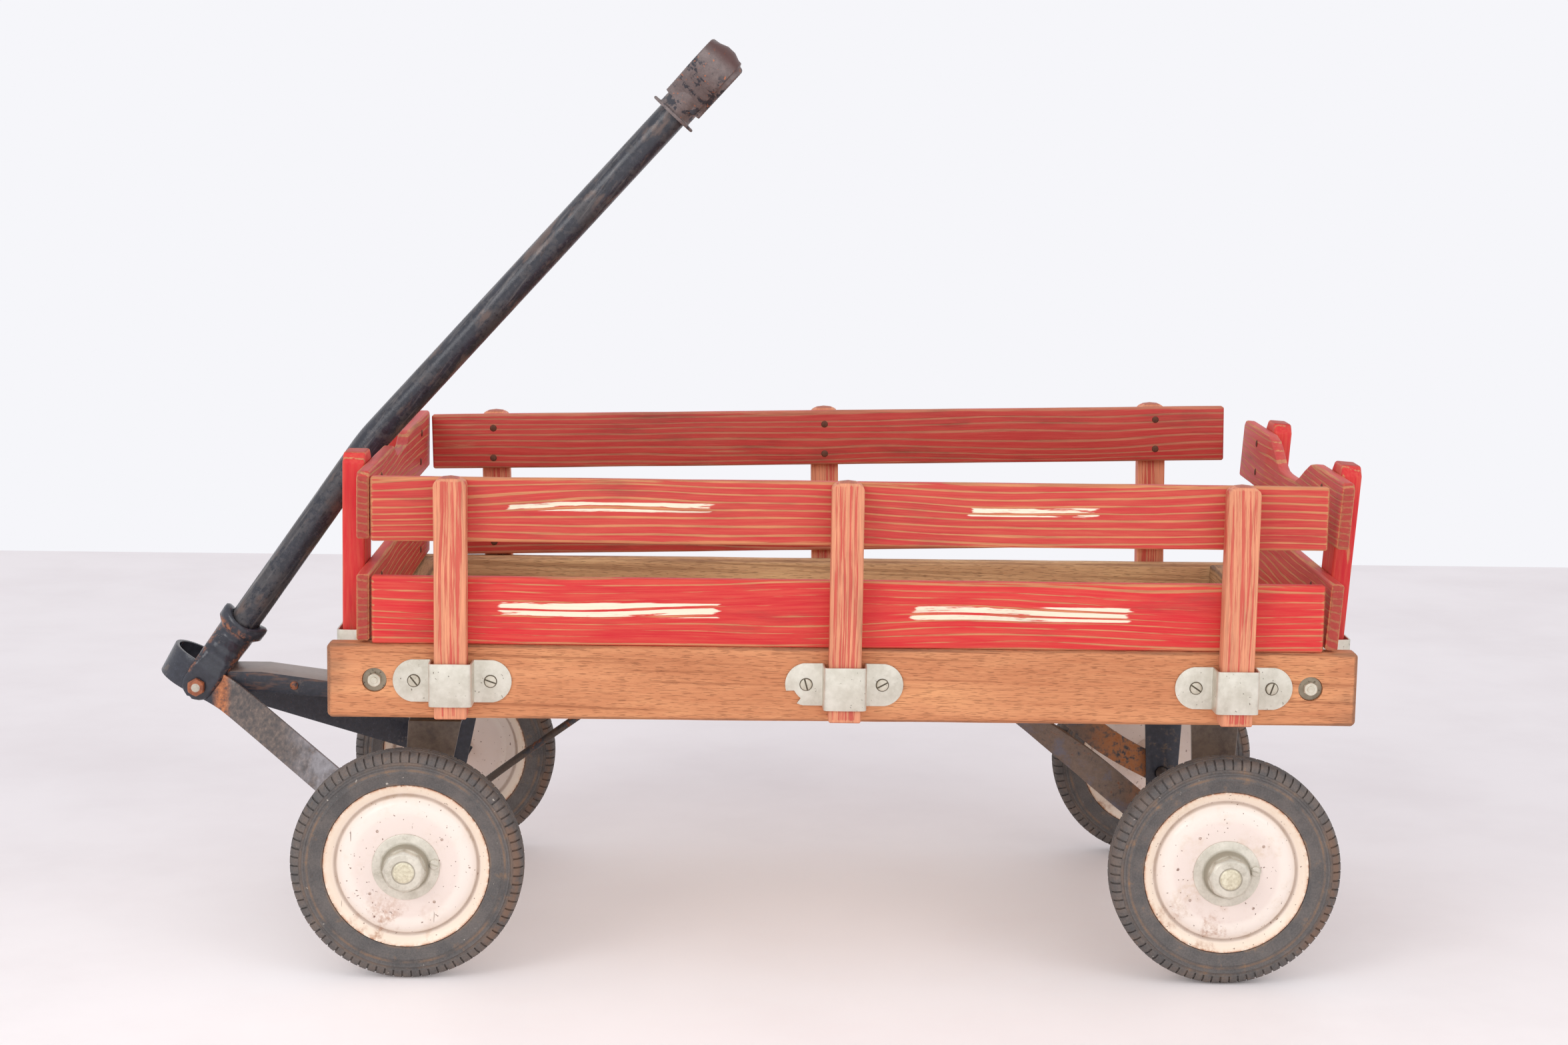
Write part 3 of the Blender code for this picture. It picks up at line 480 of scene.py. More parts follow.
def box_pocket(name, node, inner_width, depth, out, damaged=False):
    """One pocket standing on its node's back face; out is the way it faces, as a sign on its axis."""
    low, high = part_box(node)
    along = 0 if high.x - low.x > high.y - low.y else 1
    centre = (low + high) / 2
    length = high[along] - low[along]
    height = high.z - low.z
    steel = 0.0016
    bpy.ops.object.select_all(action="DESELECT")
    bpy.ops.mesh.primitive_circle_add(vertices=40, radius=height / 2, fill_type="NGON",
                                      rotation=(pi / 2, 0, 0))
    piece = bpy.context.object
    piece.name = name
    bpy.ops.object.transform_apply()
    bpy.ops.object.mode_set(mode="EDIT")
    bpy.ops.mesh.bisect(plane_co=(0, 0, 0), plane_no=(1, 0, 0))
    bpy.ops.object.mode_set(mode="OBJECT")
    for vert in piece.data.vertices:
        vert.co.x += (length - height) / 2 * (1 if vert.co.x > 1e-6 else -1 if vert.co.x < -1e-6 else 0)
    wall = inner_width / 2 + steel / 2
    bpy.ops.object.mode_set(mode="EDIT")
    for edge in (-wall - 0.0005, -wall, wall, wall + 0.0005):
        bpy.ops.mesh.select_all(action="SELECT")
        bpy.ops.mesh.bisect(plane_co=(edge, 0, 0), plane_no=(1, 0, 0))
    bpy.ops.object.mode_set(mode="OBJECT")
    for vert in piece.data.vertices:
        if abs(vert.co.x) < wall + 0.0001:
            vert.co.y -= depth - steel
    if damaged:
        for vert in piece.data.vertices:
            if vert.co.x < -length * 0.41 and vert.co.z < -height * 0.16:
                vert.co.x += 0.006
                vert.co.z += 0.003
    worked(piece, "BEVEL", width=0.0022, segments=4, limit_method="ANGLE")
    worked(piece, "SOLIDIFY", thickness=steel, offset=1.0)
    worked(piece, "BEVEL", width=0.00035, segments=2, limit_method="ANGLE", angle_limit=radians(50))
    bpy.ops.object.shade_smooth_by_angle(angle=radians(38))
    turn = {(0, -1): 0, (0, 1): pi, (1, -1): -pi / 2, (1, 1): pi / 2}[(along, out)]
    back = low if out > 0 else high
    spot = Vector((centre.x, back.y, centre.z)) if along == 0 else Vector((back.x, centre.y, centre.z))
    piece.data.transform(Matrix.Translation(spot) @ Matrix.Rotation(turn, 4, "Z"))
    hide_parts(node)
    settle(piece, "wagon", "galvanised", zinc)
    return spot, turn, (length - height) / 2


def joined(name, pieces):
    """Several small pieces made into one."""
    bpy.ops.object.select_all(action="DESELECT")
    for piece in pieces:
        piece.select_set(True)
    bpy.context.view_layer.objects.active = pieces[0]
    bpy.ops.object.join()
    pieces[0].name = name
    return pieces[0]


zinc = galvanised("zinc_pocket", colour(230, 226, 214), colour(188, 182, 166), 1.0)
zinc_bright = galvanised("zinc_screw", colour(226, 220, 204), colour(170, 162, 144), 5.0, 0.66)
# painted shade: a dark grey-brown material for the screws' slots and for a thin ring under each head
slot_shade, slot_shade_place, slot_shade_shader = new_material("slot_shade")
slot_shade_cloud = slot_shade_place.stretched(500, 500, 500).noise(1.0, 3.0, 0.6)
lay(slot_shade_shader, slot_shade_place, slot_shade_cloud.choose(colour(70, 62, 52), colour(126, 116, 98)),
    0.7 + slot_shade_cloud * 0.2)


def cylinder(radius, depth, middle, vertices):
    """A plain round bar lying along Y."""
    bpy.ops.object.select_all(action="DESELECT")
    bpy.ops.mesh.primitive_cylinder_add(vertices=vertices, radius=radius, depth=depth, location=middle,
                                        rotation=(pi / 2, 0, 0))
    bpy.ops.object.transform_apply()
    return bpy.context.object


def slotted_screw(name, spot, turn, slot_angle, radius=0.0052):
    """A low round screw head standing on spot, its slot turned by slot_angle."""
    piece = cylinder(radius, 0.0034, (0, -0.0001, 0), 28)
    worked(piece, "BEVEL", width=0.0011, segments=3, limit_method="ANGLE", angle_limit=radians(50))
    bpy.ops.mesh.primitive_cube_add(size=1, location=(0, -0.0019, 0), scale=(radius * 2.4, 0.0022, 0.0014),
                                    rotation=(0, slot_angle, 0))
    slot = bpy.context.object
    worked(piece, "BOOLEAN", object=slot, operation="DIFFERENCE")
    bpy.data.objects.remove(slot)
    piece.data.materials.append(zinc_bright)
    piece.data.materials.append(slot_shade)
    # painted shade: the slot's faces take the dark material
    for face in piece.data.polygons:
        face.material_index = 1 if face.center.y > -0.0012 else 0
    # painted shade: a thin dark disc under the head stands for the shadow round it
    ring = cylinder(radius + 0.0006, 0.0008, (0, -0.0001, 0), 28)
    ring.data.materials.append(slot_shade)
    piece = joined(name, [piece, ring])
    bpy.ops.object.select_all(action="DESELECT")
    piece.select_set(True)
    bpy.ops.object.shade_smooth_by_angle(angle=radians(35))
    piece.data.transform(Matrix.Translation(spot) @ Matrix.Rotation(turn, 4, "Z"))
    return piece


screw_angles = [0.9, 0.35, 1.3, -0.5, 0.6, 1.9, 0.2, -1.1, 0.5, 1.2,
                2.2, 0.8, 0.1, 1.0, -0.3, 0.7, 1.6, 0.4, -0.8, 1.1]
# node, inner width, depth, the way it faces
pockets = [(f"stake_pocket_{side}_{number}", 0.0325, 0.0228, sign)
           for side, sign in (("near", -1), ("far", 1)) for number in (1, 2, 3)]
pockets += [(f"post_pocket_{end}_{side}", 0.048, depth, sign)
            for end, depth, sign in (("front", 0.0291, -1), ("rear", 0.0356, 1)) for side in ("near", "far")]
DAMAGED = "stake_pocket_near_2"
screws = []
for node, inner_width, depth, sign in pockets:
    spot, turn, ear = box_pocket(node + "_zinc", node, inner_width, depth, sign, node == DAMAGED)
    for way in (-1, 1):
        ear_spot = spot + Matrix.Rotation(turn, 3, "Z") @ Vector((way * ear * 1.02, -0.0014, 0))
        screws.append(slotted_screw("screw", ear_spot, turn, screw_angles[len(screws)]))
pocket_screws = joined("pocket_screws", screws)
settle(pocket_screws, "wagon", "galvanised")


# ---- sill bolts: a hexagon nut on a bolt, sunk in a round hole near each end of the sills ----
# The hole is bored 4 mm deep for a washer; wood shows dark on its wall.
def hexagon_nut(name, spot, turn, across, thickness, steps=6, bolt=None):
    """A nut on spot facing -y before turning, chamfered like a real one, with the bolt's end through it."""
    piece = cylinder(across / sqrt(3), thickness, (0, -thickness / 2, 0), steps)
    bpy.ops.mesh.primitive_cone_add(vertices=48, radius1=across * 0.95, radius2=across * 0.475,
                                    depth=thickness * 1.6, rotation=(pi / 2, 0, 0),
                                    location=(0, -thickness * 0.22, 0))
    cone = bpy.context.object
    worked(piece, "BOOLEAN", object=cone, operation="INTERSECT")
    bpy.data.objects.remove(cone)
    parts = [piece]
    if bolt:
        radius, proud = bolt
        end = cylinder(radius, thickness + proud, (0, -(thickness + proud) / 2, 0), 24)
        worked(end, "BEVEL", width=radius * 0.22, segments=3, limit_method="ANGLE", angle_limit=radians(50))
        parts.append(end)
    piece = joined(name, parts)
    worked(piece, "BEVEL", width=0.00035, segments=2, limit_method="ANGLE", angle_limit=radians(25))
    bpy.ops.object.shade_smooth_by_angle(angle=radians(30))
    piece.data.transform(Matrix.Translation(spot) @ Matrix.Rotation(turn, 4, "Z"))
    return piece


nut_zinc = galvanised("zinc_nut", colour(236, 230, 214), colour(176, 168, 148), 7.0)
washer_zinc = galvanised("zinc_washer", colour(170, 160, 140), colour(118, 108, 92), 8.0, 0.60)
BOLT_FROM_END = 0.0412
BORE = 0.0108
BORE_DEPTH = 0.0042
for side, sign, turn in (("near", -1, 0), ("far", 1, pi)):
    low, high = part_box(f"sill_{side}")
    face_y = low.y if sign < 0 else high.y
    bolts = []
    for x in (low.x + BOLT_FROM_END, high.x - BOLT_FROM_END):
        z = (low.z + high.z) / 2 + 0.0008
        bore = cylinder(BORE, 2 * BORE_DEPTH, (x, face_y, z), 40)
        bpy.ops.object.select_all(action="DESELECT")
        sills[side].select_set(True)
        worked(sills[side], "BOOLEAN", object=bore)
        bpy.data.objects.remove(bore)
        floor_y = face_y - sign * BORE_DEPTH
        washer = cylinder(BORE * 0.95, 0.0014, (x, floor_y + sign * 0.0007, z), 40)
        washer.data.materials.append(washer_zinc)
        nut = hexagon_nut("nut", (x, floor_y + sign * 0.0012, z), turn, 0.0112, 0.0048,
                          bolt=(0.0031, 0.0008))
        nut.data.materials.append(nut_zinc)
        bolts += [washer, nut]
    sill_bolts = joined(f"sill_bolts_{side}", bolts)
    settle(sill_bolts, "wagon", "galvanised")


# ---- nails: round wire nails, rusted dark, through every rail and gate board into its stake or post ----
def nail(spot, direction):
    bpy.ops.object.select_all(action="DESELECT")
    bpy.ops.mesh.primitive_uv_sphere_add(segments=16, ring_count=8, radius=0.0036)
    piece = bpy.context.object
    bpy.ops.object.mode_set(mode="EDIT")
    bpy.ops.mesh.bisect(plane_co=(0, 0, -0.0008), plane_no=(0, 0, 1), clear_inner=True, use_fill=True)
    bpy.ops.object.mode_set(mode="OBJECT")
    flat = Matrix.Diagonal((1, 1, 0.30, 1))
    turn = Vector(direction).to_track_quat("Z", "Y").to_matrix().to_4x4()
    piece.data.transform(Matrix.Translation(spot) @ turn @ flat)
    piece.data.shade_smooth()
    return piece


rust, rust_place, rust_shader = new_material("nail_rust")
rust_cloud = rust_place.stretched(400, 400, 400).noise(1.0, 3.0, 0.6)
lay(rust_shader, rust_place, rust_cloud.choose(colour(58, 40, 36), colour(132, 78, 54)),
    0.62 + rust_cloud * 0.2, rust_cloud, 0.0003, 0.3)
NAIL_SPREAD = 0.0155
for side, sign in (("near", -1), ("far", 1)):
    nails = []
    for level in ("lower", "upper"):
        low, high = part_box(f"rack_{side}_{level}_rail")
        for number in (1, 2, 3):
            stake_low, stake_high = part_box(f"rack_{side}_stake_{number}")
            x = (stake_low.x + stake_high.x) / 2
            tilt = radians(1.3) if side == "far" else 0.0
            middle = (low.z + high.z) / 2 + (x - (low.x + high.x) / 2) * tilt
            face_y = high.y if sign < 0 else low.y
            for step in (-1, 1):
                offset = 0.003 * sin(number * 7.0 + step * 3 + (level == "upper"))
                z = middle + step * NAIL_SPREAD + offset * 0.6
                nails.append(nail((x + offset, face_y, z), (0, -sign, 0)))
    settle(joined(f"rack_nails_{side}", nails), f"{side}_rack", "rusty_steel", rust)

for end, sign, body in (("front", 1, "wagon"), ("rear", -1, "rear_gate")):
    lean, yaw = (radians(0.5), 0.0) if end == "front" else (radians(3.7), -radians(0.5))
    out = Euler((0, lean, yaw)).to_matrix() @ Vector((sign, 0, 0))
    nails = []
    for level in ("lower_board", "upper_board"):
        low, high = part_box(f"gate_{end}_{level}")
        for side in (-1, 1):
            for step in (-1, 1):
                middle = (low + high) / 2
                rise = step * 0.014
                y = side * 0.158 + 0.004 * step
                x = middle.x + rise * lean - y * yaw + out.x * 0.0055
                nails.append(nail((x, y, middle.z + rise), out))
    settle(joined(f"{end}_gate_nails", nails), body, "rusty_steel", rust)


# ---- tyres: solid rubber with a plain flank, two fine ribs and shoulder blocks ----
# Grey-brown with age, ochre dust lying in the grooves; one moulded tyre is copied to four wheels.
def spun(name, outline, steps):
    """A wheel part spun about the Y axis from (radius, y) points; -y faces outward."""
    bpy.ops.object.select_all(action="DESELECT")
    mesh = bpy.data.meshes.new(name)
    steps_of_line = [(i, i + 1) for i in range(len(outline) - 1)]
    mesh.from_pydata([(0, y, radius) for radius, y in outline], steps_of_line, [])
    piece = bpy.data.objects.new(name, mesh)
    scene.collection.objects.link(piece)
    bpy.context.view_layer.objects.active = piece
    piece.select_set(True)
    bpy.ops.object.mode_set(mode="EDIT")
    bpy.ops.mesh.select_all(action="SELECT")
    bpy.ops.mesh.spin(steps=steps, angle=2 * pi, center=(0, 0, 0), axis=(0, 1, 0))
    bpy.ops.mesh.select_all(action="SELECT")
    bpy.ops.mesh.remove_doubles(threshold=0.00002)
    bpy.ops.mesh.normals_make_consistent(inside=False)
    bpy.ops.object.mode_set(mode="OBJECT")
    return piece


def smooth_by(piece, angle):
    bpy.ops.object.select_all(action="DESELECT")
    piece.select_set(True)
    bpy.context.view_layer.objects.active = piece
    bpy.ops.object.shade_smooth_by_angle(angle=radians(angle))


BLOCKS = 78
STEPS_PER_BLOCK = 5
NOTCH = 0.0016
flank = [(0.0738, -0.0118), (0.0742, -0.0134), (0.0780, -0.0146), (0.0836, -0.0152), (0.0848, -0.0160),
         (0.0860, -0.0152), (0.0895, -0.0150), (0.0905, -0.0158), (0.0918, -0.0158), (0.0926, -0.0146),
         (0.0940, -0.0144), (0.0950, -0.0150), (0.0985, -0.0142), (0.1012, -0.0122), (0.1026, -0.0098),
         (0.1033, -0.0070)]
running = [(0.1018, -0.0062), (0.1018, -0.0048), (0.1034, -0.0042), (0.1034, -0.0012), (0.1018, -0.0006)]
half_outline = flank + running
tyre_outline = half_outline + [(r, -y) for r, y in reversed(half_outline)]
tyre_outline += [tyre_outline[0]]
tyre = spun("tyre", tyre_outline, BLOCKS * STEPS_PER_BLOCK)
bpy.ops.object.mode_set(mode="EDIT")
bpy.ops.mesh.select_all(action="DESELECT")
bpy.ops.object.mode_set(mode="OBJECT")
sector = 2 * pi / (BLOCKS * STEPS_PER_BLOCK)
for face in tyre.data.polygons:
    middle = face.center
    reach = sqrt(middle.x ** 2 + middle.z ** 2)
    step = int((atan2(middle.z, middle.x) + pi) / sector + 0.001)
    face.select = 0.0945 < reach < 0.1032 and abs(middle.y) > 0.0065 and step % STEPS_PER_BLOCK == 0
bpy.ops.object.mode_set(mode="EDIT")
bpy.ops.mesh.extrude_region_shrink_fatten(TRANSFORM_OT_shrink_fatten={"value": -NOTCH})
bpy.ops.object.mode_set(mode="OBJECT")
# painted shade: the notch faces take a second, darker rubber
for face in tyre.data.polygons:
    face.material_index = 1 if face.select else 0
smooth_by(tyre, 32)


def radius_of(place, centre):
    """Distance from a wheel's axle line, and these coordinates moved to the wheel's middle."""
    own = place.centred(centre)
    x = own.axis("X")
    z = own.axis("Z")
    return (x * x + z * z).math("SQRT", x * x + z * z), own, x, z


def rubber(name, centre, seed, shade=1.0):
    material, place, shader = new_material(name)
    radius, own, x, z = radius_of(place, centre)
    cloud = own.stretched(45, 45, 45, seed).noise(1.0, 5.0, 0.65)
    grit = own.stretched(700, 700, 700, seed).noise(1.0, 2.0, 0.6)
    groove = 1 - abs(radius - 0.0875).between(0.0004, 0.0016)
    seam = 1 - abs(radius - 0.0933).between(0.0006, 0.0020)
    edge = 1 - abs(radius - 0.0745).between(0.0003, 0.0014)
    shoulder = radius.between(0.0940, 0.0965)
    dust = (groove * 0.55 + seam * 0.30 + edge * 0.4 + shoulder * 0.16 + 0.06) * cloud.between(0.36, 0.66)
    smears = own.stretched(90, 90, 90, seed + 4).noise(1.0, 4.0, 0.7).between(0.60, 0.70)
    dust = dust * (0.6 + grit * 0.7) + smears * 0.30
    tone = (cloud * 0.7 + grit * 0.5).between(0.3, 0.9)
    # shade below 1 darkens the rubber: painted shade, used for the tyre's notches
    base = tone.choose(tint(colour(76, 73, 72), shade),
                       tint(colour(108, 104, 102), shade))
    base = dust.choose(base, colour(146, 112, 82))
    torn = (1 - abs(radius - 0.0975).between(0.0015, 0.0050)) * x.between(0.060, 0.080)
    torn = torn * (0.0 - z).between(-0.055, -0.030)
    base = (torn * cloud.between(0.35, 0.50) * 0.6).choose(base, colour(124, 92, 70))
    flakes = own.stretched(170, 170, 170, seed + 8).noise(1.0, 3.0, 0.6).between(0.72, 0.75)
    base = flakes.choose(base, colour(176, 168, 158))
    lay(shader, place, base, 0.62 + cloud * 0.2, grit * 0.5 + cloud * 0.5, 0.0004)
    return material


# ---- wheel discs: pressed steel in cream enamel, with rust at the rim and in chips ----
# A rolled rim, a groove, a round swell and a flat middle with four small holes.
disc_outline = [(0.0220, -0.0142), (0.0300, -0.0142), (0.0400, -0.0141), (0.0440, -0.0139),
                (0.0458, -0.0136), (0.0475, -0.0137), (0.0505, -0.0138), (0.0535, -0.0135),
                (0.0565, -0.0127), (0.0592, -0.0111), (0.0610, -0.0092), (0.0622, -0.0076),
                (0.0632, -0.0068), (0.0642, -0.0070), (0.0656, -0.0084), (0.0678, -0.0102),
                (0.0702, -0.0117), (0.0722, -0.0127), (0.0734, -0.0131), (0.0738, -0.0124),
                (0.0737, -0.0110), (0.0730, -0.0060), (0.0730, 0.0110), (0.0737, 0.0124),
                (0.0728, 0.0128), (0.0700, 0.0110), (0.0650, 0.0080), (0.0600, -0.0010),
                (0.0520, -0.0092), (0.0400, -0.0102), (0.0220, -0.0104), (0.0160, -0.0104),
                (0.0160, 0.0230), (0.0080, 0.0236), (0.0072, 0.0200), (0.0072, -0.0142),
                (0.0220, -0.0142)]
disc = spun("disc", disc_outline, 96)
HOLE_CIRCLE = 0.0405
for degrees in (38, 128, 218, 308):
    angle = radians(degrees)
    hole = cylinder(0.0014, 0.006, (HOLE_CIRCLE * cos(angle), -0.0150, HOLE_CIRCLE * sin(angle)), 16)
    worked(disc, "BOOLEAN", object=hole)
    bpy.data.objects.remove(hole)
smooth_by(disc, 40)


def enamel(name, centre, seed, age):
    """Cream enamel, rusty at the rim, spotted with chips and stained low down, more so with age; painted
    shade darkens the groove.
    """
    material, place, shader = new_material(name)
    radius, own, x, z = radius_of(place, centre)
    cloud = own.stretched(34, 34, 34, seed).noise(1.0, 5.0, 0.6)
    fine = own.stretched(240, 240, 240, seed + 1).noise(1.0, 3.0, 0.6)
    chips = own.stretched(420, 420, 420, seed + 2).noise(1.0, 1.0, 0.4).between(0.735, 0.765)
    spots = own.stretched(130, 130, 130, seed + 5).noise(1.0, 2.0, 0.5).between(0.735, 0.775)
    rim = radius.between(0.0690, 0.0738) * fine.between(0.28, 0.60)
    low_stain = (0.0 - z).between(0.014, 0.060) * (0.030 - x).between(0.0, 0.04) * cloud.between(0.46, 0.62)
    low_stain = low_stain * fine.between(0.30, 0.70)
    groove = 1 - abs(radius - 0.0634).between(0.0004, 0.0026)
    middle = 1 - radius.between(0.0440, 0.0500)
    dirt = cloud.between(0.48, 0.75) * fine.between(0.30, 0.70)
    base = middle.choose(colour(242, 229, 218), colour(236, 220, 210))
    base = (radius.between(0.0625, 0.0680) * 0.60).choose(base, colour(240, 220, 194))
    base = (dirt * (0.20 + 0.25 * age + groove * 0.5)).choose(base, colour(204, 172, 132))
    # painted shade: a darker brown line along the groove between rim and swell
    base = (groove * (0.35 + cloud * 0.5)).choose(base, colour(150, 118, 92))
    base = (rim * 0.45).choose(base, colour(216, 166, 118))
    base = (low_stain * 0.75).choose(base, colour(170, 112, 74))
    base = (rim * radius.between(0.0718, 0.0737) * 0.85).choose(base, colour(160, 88, 50))
    base = (chips * 0.75 + spots * 0.8).choose(base, colour(112, 70, 50))
    scratch = own.stretched(300, 60, 30, seed + 9).noise(1.0, 2.0, 0.6).between(0.73, 0.76)
    base = (scratch * 0.6).choose(base, colour(120, 92, 76))
    rough = 0.30 + (low_stain + chips + spots + rim * 0.4) * 0.35 + fine * 0.10
    lay(shader, place, base, rough, fine * 0.25 + cloud * 0.3 - (chips + spots) * 0.6, 0.0004, coat=0.15)
    return material


# ---- hub: a zinc plate riveted on the disc, a big chamfered nut on a round collar, and the axle's end ----
# Dull zinc, yellowed where oil has dried. One small slotted screw sits at the plate's edge.
plate_outline = [(0.0120, -0.0138), (0.0296, -0.0138), (0.0300, -0.0145), (0.0298, -0.0153),
                 (0.0290, -0.0157), (0.0226, -0.0160), (0.0212, -0.0166), (0.0203, -0.0180),
                 (0.0197, -0.0225), (0.0190, -0.0246), (0.0120, -0.0250), (0.0120, -0.0138)]
hub_plate = spun("hub_plate", plate_outline, 72)
smooth_by(hub_plate, 30)
hub_nut = hexagon_nut("hub_nut", (0, -0.0245, 0), 0, 0.0330, 0.0090, 8, bolt=(0.0098, 0.0010))
hub_screw = slotted_screw("hub_screw", (0.0252, -0.0158, 0.0028), 0, 0.35, 0.0046)
hub = joined("hub", [hub_plate, hub_nut, hub_screw])


def hub_metal(name, centre, seed):
    """Dull zinc: pale plate and nut face, painted shade on the collar under the nut, oil-yellowed bolt end.
    """
    material, place, shader = new_material(name)
    radius, own = radius_of(place, centre)[:2]
    cloud = own.stretched(70, 70, 70, seed).noise(1.0, 4.0, 0.6)
    fine = own.stretched(420, 420, 420, seed + 3).noise(1.0, 3.0, 0.6)
    tone = (cloud * 0.8 + fine * 0.3).between(0.15, 0.95)
    base = tone.choose(colour(186, 180, 164), colour(236, 230, 216))
    # painted shade: the collar under the nut is darkened as if in its shadow
    collar = 1 - abs(radius - 0.0205).between(0.0006, 0.0030)
    base = (collar * (0.35 + cloud * 0.5)).choose(base, colour(132, 122, 100))
    bolt = 1 - radius.between(0.0090, 0.0099)
    base = (bolt * 0.7).choose(base, (fine * 0.9 + cloud * 0.3).between(0.3, 0.9).choose(
        colour(196, 184, 150), colour(240, 234, 206)))
    ring = 1 - abs(radius - 0.0100).between(0.0002, 0.0009)
    base = (ring * 0.6).choose(base, colour(120, 108, 88))
    grime = own.stretched(45, 45, 45, seed + 7).noise(1.0, 5.0, 0.7).between(0.56, 0.70)
    base = (grime * 0.4).choose(base, colour(140, 128, 104))
    rough = 0.34 + cloud * 0.20 + grime * 0.2
    lay(shader, place, base, rough, cloud * 0.4 + fine * 0.3, 0.0003, 0.45 - 0.4 * grime)
    return material


for seed, (end, side) in enumerate((end, side) for end in ("front", "rear") for side in ("near", "far")):
    wheel = f"{end}_{side}"
    low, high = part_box(f"tyre_{wheel}")
    centre = (low + high) / 2
    spot = Matrix.Translation(centre) @ Matrix.Rotation(0 if side == "near" else pi, 4, "Z")
    rolled = Matrix.Rotation(radians(23 + 71 * seed), 4, "Y")
    age = 0.0 if end == "front" else 1.0
    wheel_parts = (
        # the groove rubber, darkened to 0.55, is painted shade in the tyre's notches
        ("tyre", tyre, spot @ rolled, "tyre", (rubber(f"rubber_{wheel}", centre, 2.0 + seed),
                                               rubber(f"groove_{wheel}", centre, 6.0 + seed, 0.55))),
        ("disc", disc, spot, "wheel_paint", (enamel(f"enamel_{wheel}", centre, 4.0 + seed, age),)),
        # the hub screw's slot and ring take the painted shade material
        ("hub", hub, spot, "galvanised", (hub_metal(f"hub_zinc_{wheel}", centre, 9.0 + seed), slot_shade)))
    for part, pattern, turned, slot, materials in wheel_parts:
        piece = bpy.data.objects.new(f"wheel_{part}_{wheel}", pattern.data.copy())
        scene.collection.objects.link(piece)
        piece.data.transform(turned)
        if part != "hub":
            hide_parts(f"{part}_{wheel}")
        settle(piece, f"wheel_{wheel}", slot, *materials)
for pattern in (tyre, disc, hub):
    bpy.data.objects.remove(pattern)


# ---- running gear: plate steel bolsters on bar axles, with flat braces, all stoved black once ----
# The black is worn to brown steel on the outer faces, rusty at the edges and dusty on top.
def aged_steel(name, seed, worn, rust, dust=0.0, black=colour(44, 46, 54), bare=colour(112, 102, 96),
               gloss=0.34, more=None):
    """Black enamel, worn to bare steel and rusted; worn, rust and dust run from 0 to 1."""
    material, place, shader = new_material(name)
    cloud = place.stretched(30, 30, 30, seed).noise(1.0, 5.0, 0.65)
    fine = place.stretched(210, 210, 210, seed + 3).noise(1.0, 4.0, 0.65)
    grit = place.stretched(800, 800, 800, seed + 6).noise(1.0, 2.0, 0.6)
    bare_mask = (cloud * 0.65 + fine * 0.35).between(0.66 - worn * 0.32, 0.74 - worn * 0.30)
    rust_mask = ((1 - cloud) * 0.5 + fine * 0.5).between(0.66 - rust * 0.20, 0.74 - rust * 0.18)
    bare_look = (fine * 0.7 + grit * 0.4).between(0.3, 0.8).choose(tint(bare, 0.62), bare)
    black_look = fine.between(0.3, 0.8).choose(black, tint(black, 1.7))
    rust_look = grit.between(0.3, 0.7).choose(colour(92, 54, 38), colour(158, 94, 58))
    base = (bare_mask * 0.9).choose(black_look, bare_look)
    base = (rust_mask * 0.8).choose(base, rust_look)
    facing_up = place.facing("Z").between(0.35, 0.95)
    base = (facing_up * dust * (0.5 + cloud * 0.8)).choose(base, colour(158, 144, 134))
    if more:
        base = more(place, base, cloud, fine)
    rough = gloss + bare_mask * 0.16 + rust_mask * 0.30 + fine * 0.12
    lay(shader, place, base, rough, fine * 0.45 + grit * 0.25 + rust_mask * 0.4, 0.0004, bare_mask * 0.35)
    return material


def bent_sheet(name, rows, thickness, rim=0.0006, mirror=False, smooth=38):
    """Sheet steel through rows of points, thickened on both sides of them, its cut edges rounded."""
    bpy.ops.object.select_all(action="DESELECT")
    down, across = len(rows) - 1, len(rows[0]) - 1
    bpy.ops.mesh.primitive_grid_add(x_subdivisions=across, y_subdivisions=down, size=1)
    piece = bpy.context.object
    piece.name = name
    for vert in piece.data.vertices:
        vert.co = rows[round((vert.co.y + 0.5) * down)][round((vert.co.x + 0.5) * across)]
    if mirror:
        worked(piece, "MIRROR", use_axis=(False, True, False), merge_threshold=0.0001)
    bpy.ops.object.mode_set(mode="EDIT")
    bpy.ops.mesh.select_all(action="SELECT")
    bpy.ops.mesh.remove_doubles(threshold=0.00003)
    bpy.ops.mesh.normals_make_consistent(inside=False)
    bpy.ops.object.mode_set(mode="OBJECT")
    worked(piece, "SOLIDIFY", thickness=thickness, offset=0.0)
    worked(piece, "BEVEL", width=rim, segments=2, limit_method="ANGLE", angle_limit=radians(50))
    bpy.ops.object.shade_smooth_by_angle(angle=radians(smooth))
    return piece


def eased(points, passes=2):
    """A line of points with its corners cut round, its ends kept."""
    for _ in range(passes):
        cut = [points[0]]
        for one, two in zip(points, points[1:]):
            cut += [tuple(a * 0.75 + b * 0.25 for a, b in zip(one, two)),
                    tuple(a * 0.25 + b * 0.75 for a, b in zip(one, two))]
        points = cut + [points[-1]]
    return points


DULL_BROWN = colour(104, 90, 78)


def near_leg(place, base, cloud, fine):
    """The leg on the near side has lost most of its black."""
    leg = 1 - place.axis("Y").between(-0.139, -0.136)
    brown = (cloud * 0.6 + fine * 0.4).between(0.3, 0.7).choose(colour(92, 78, 68), colour(128, 112, 98))
    return (leg * cloud.between(0.22, 0.46)).choose(base, brown)


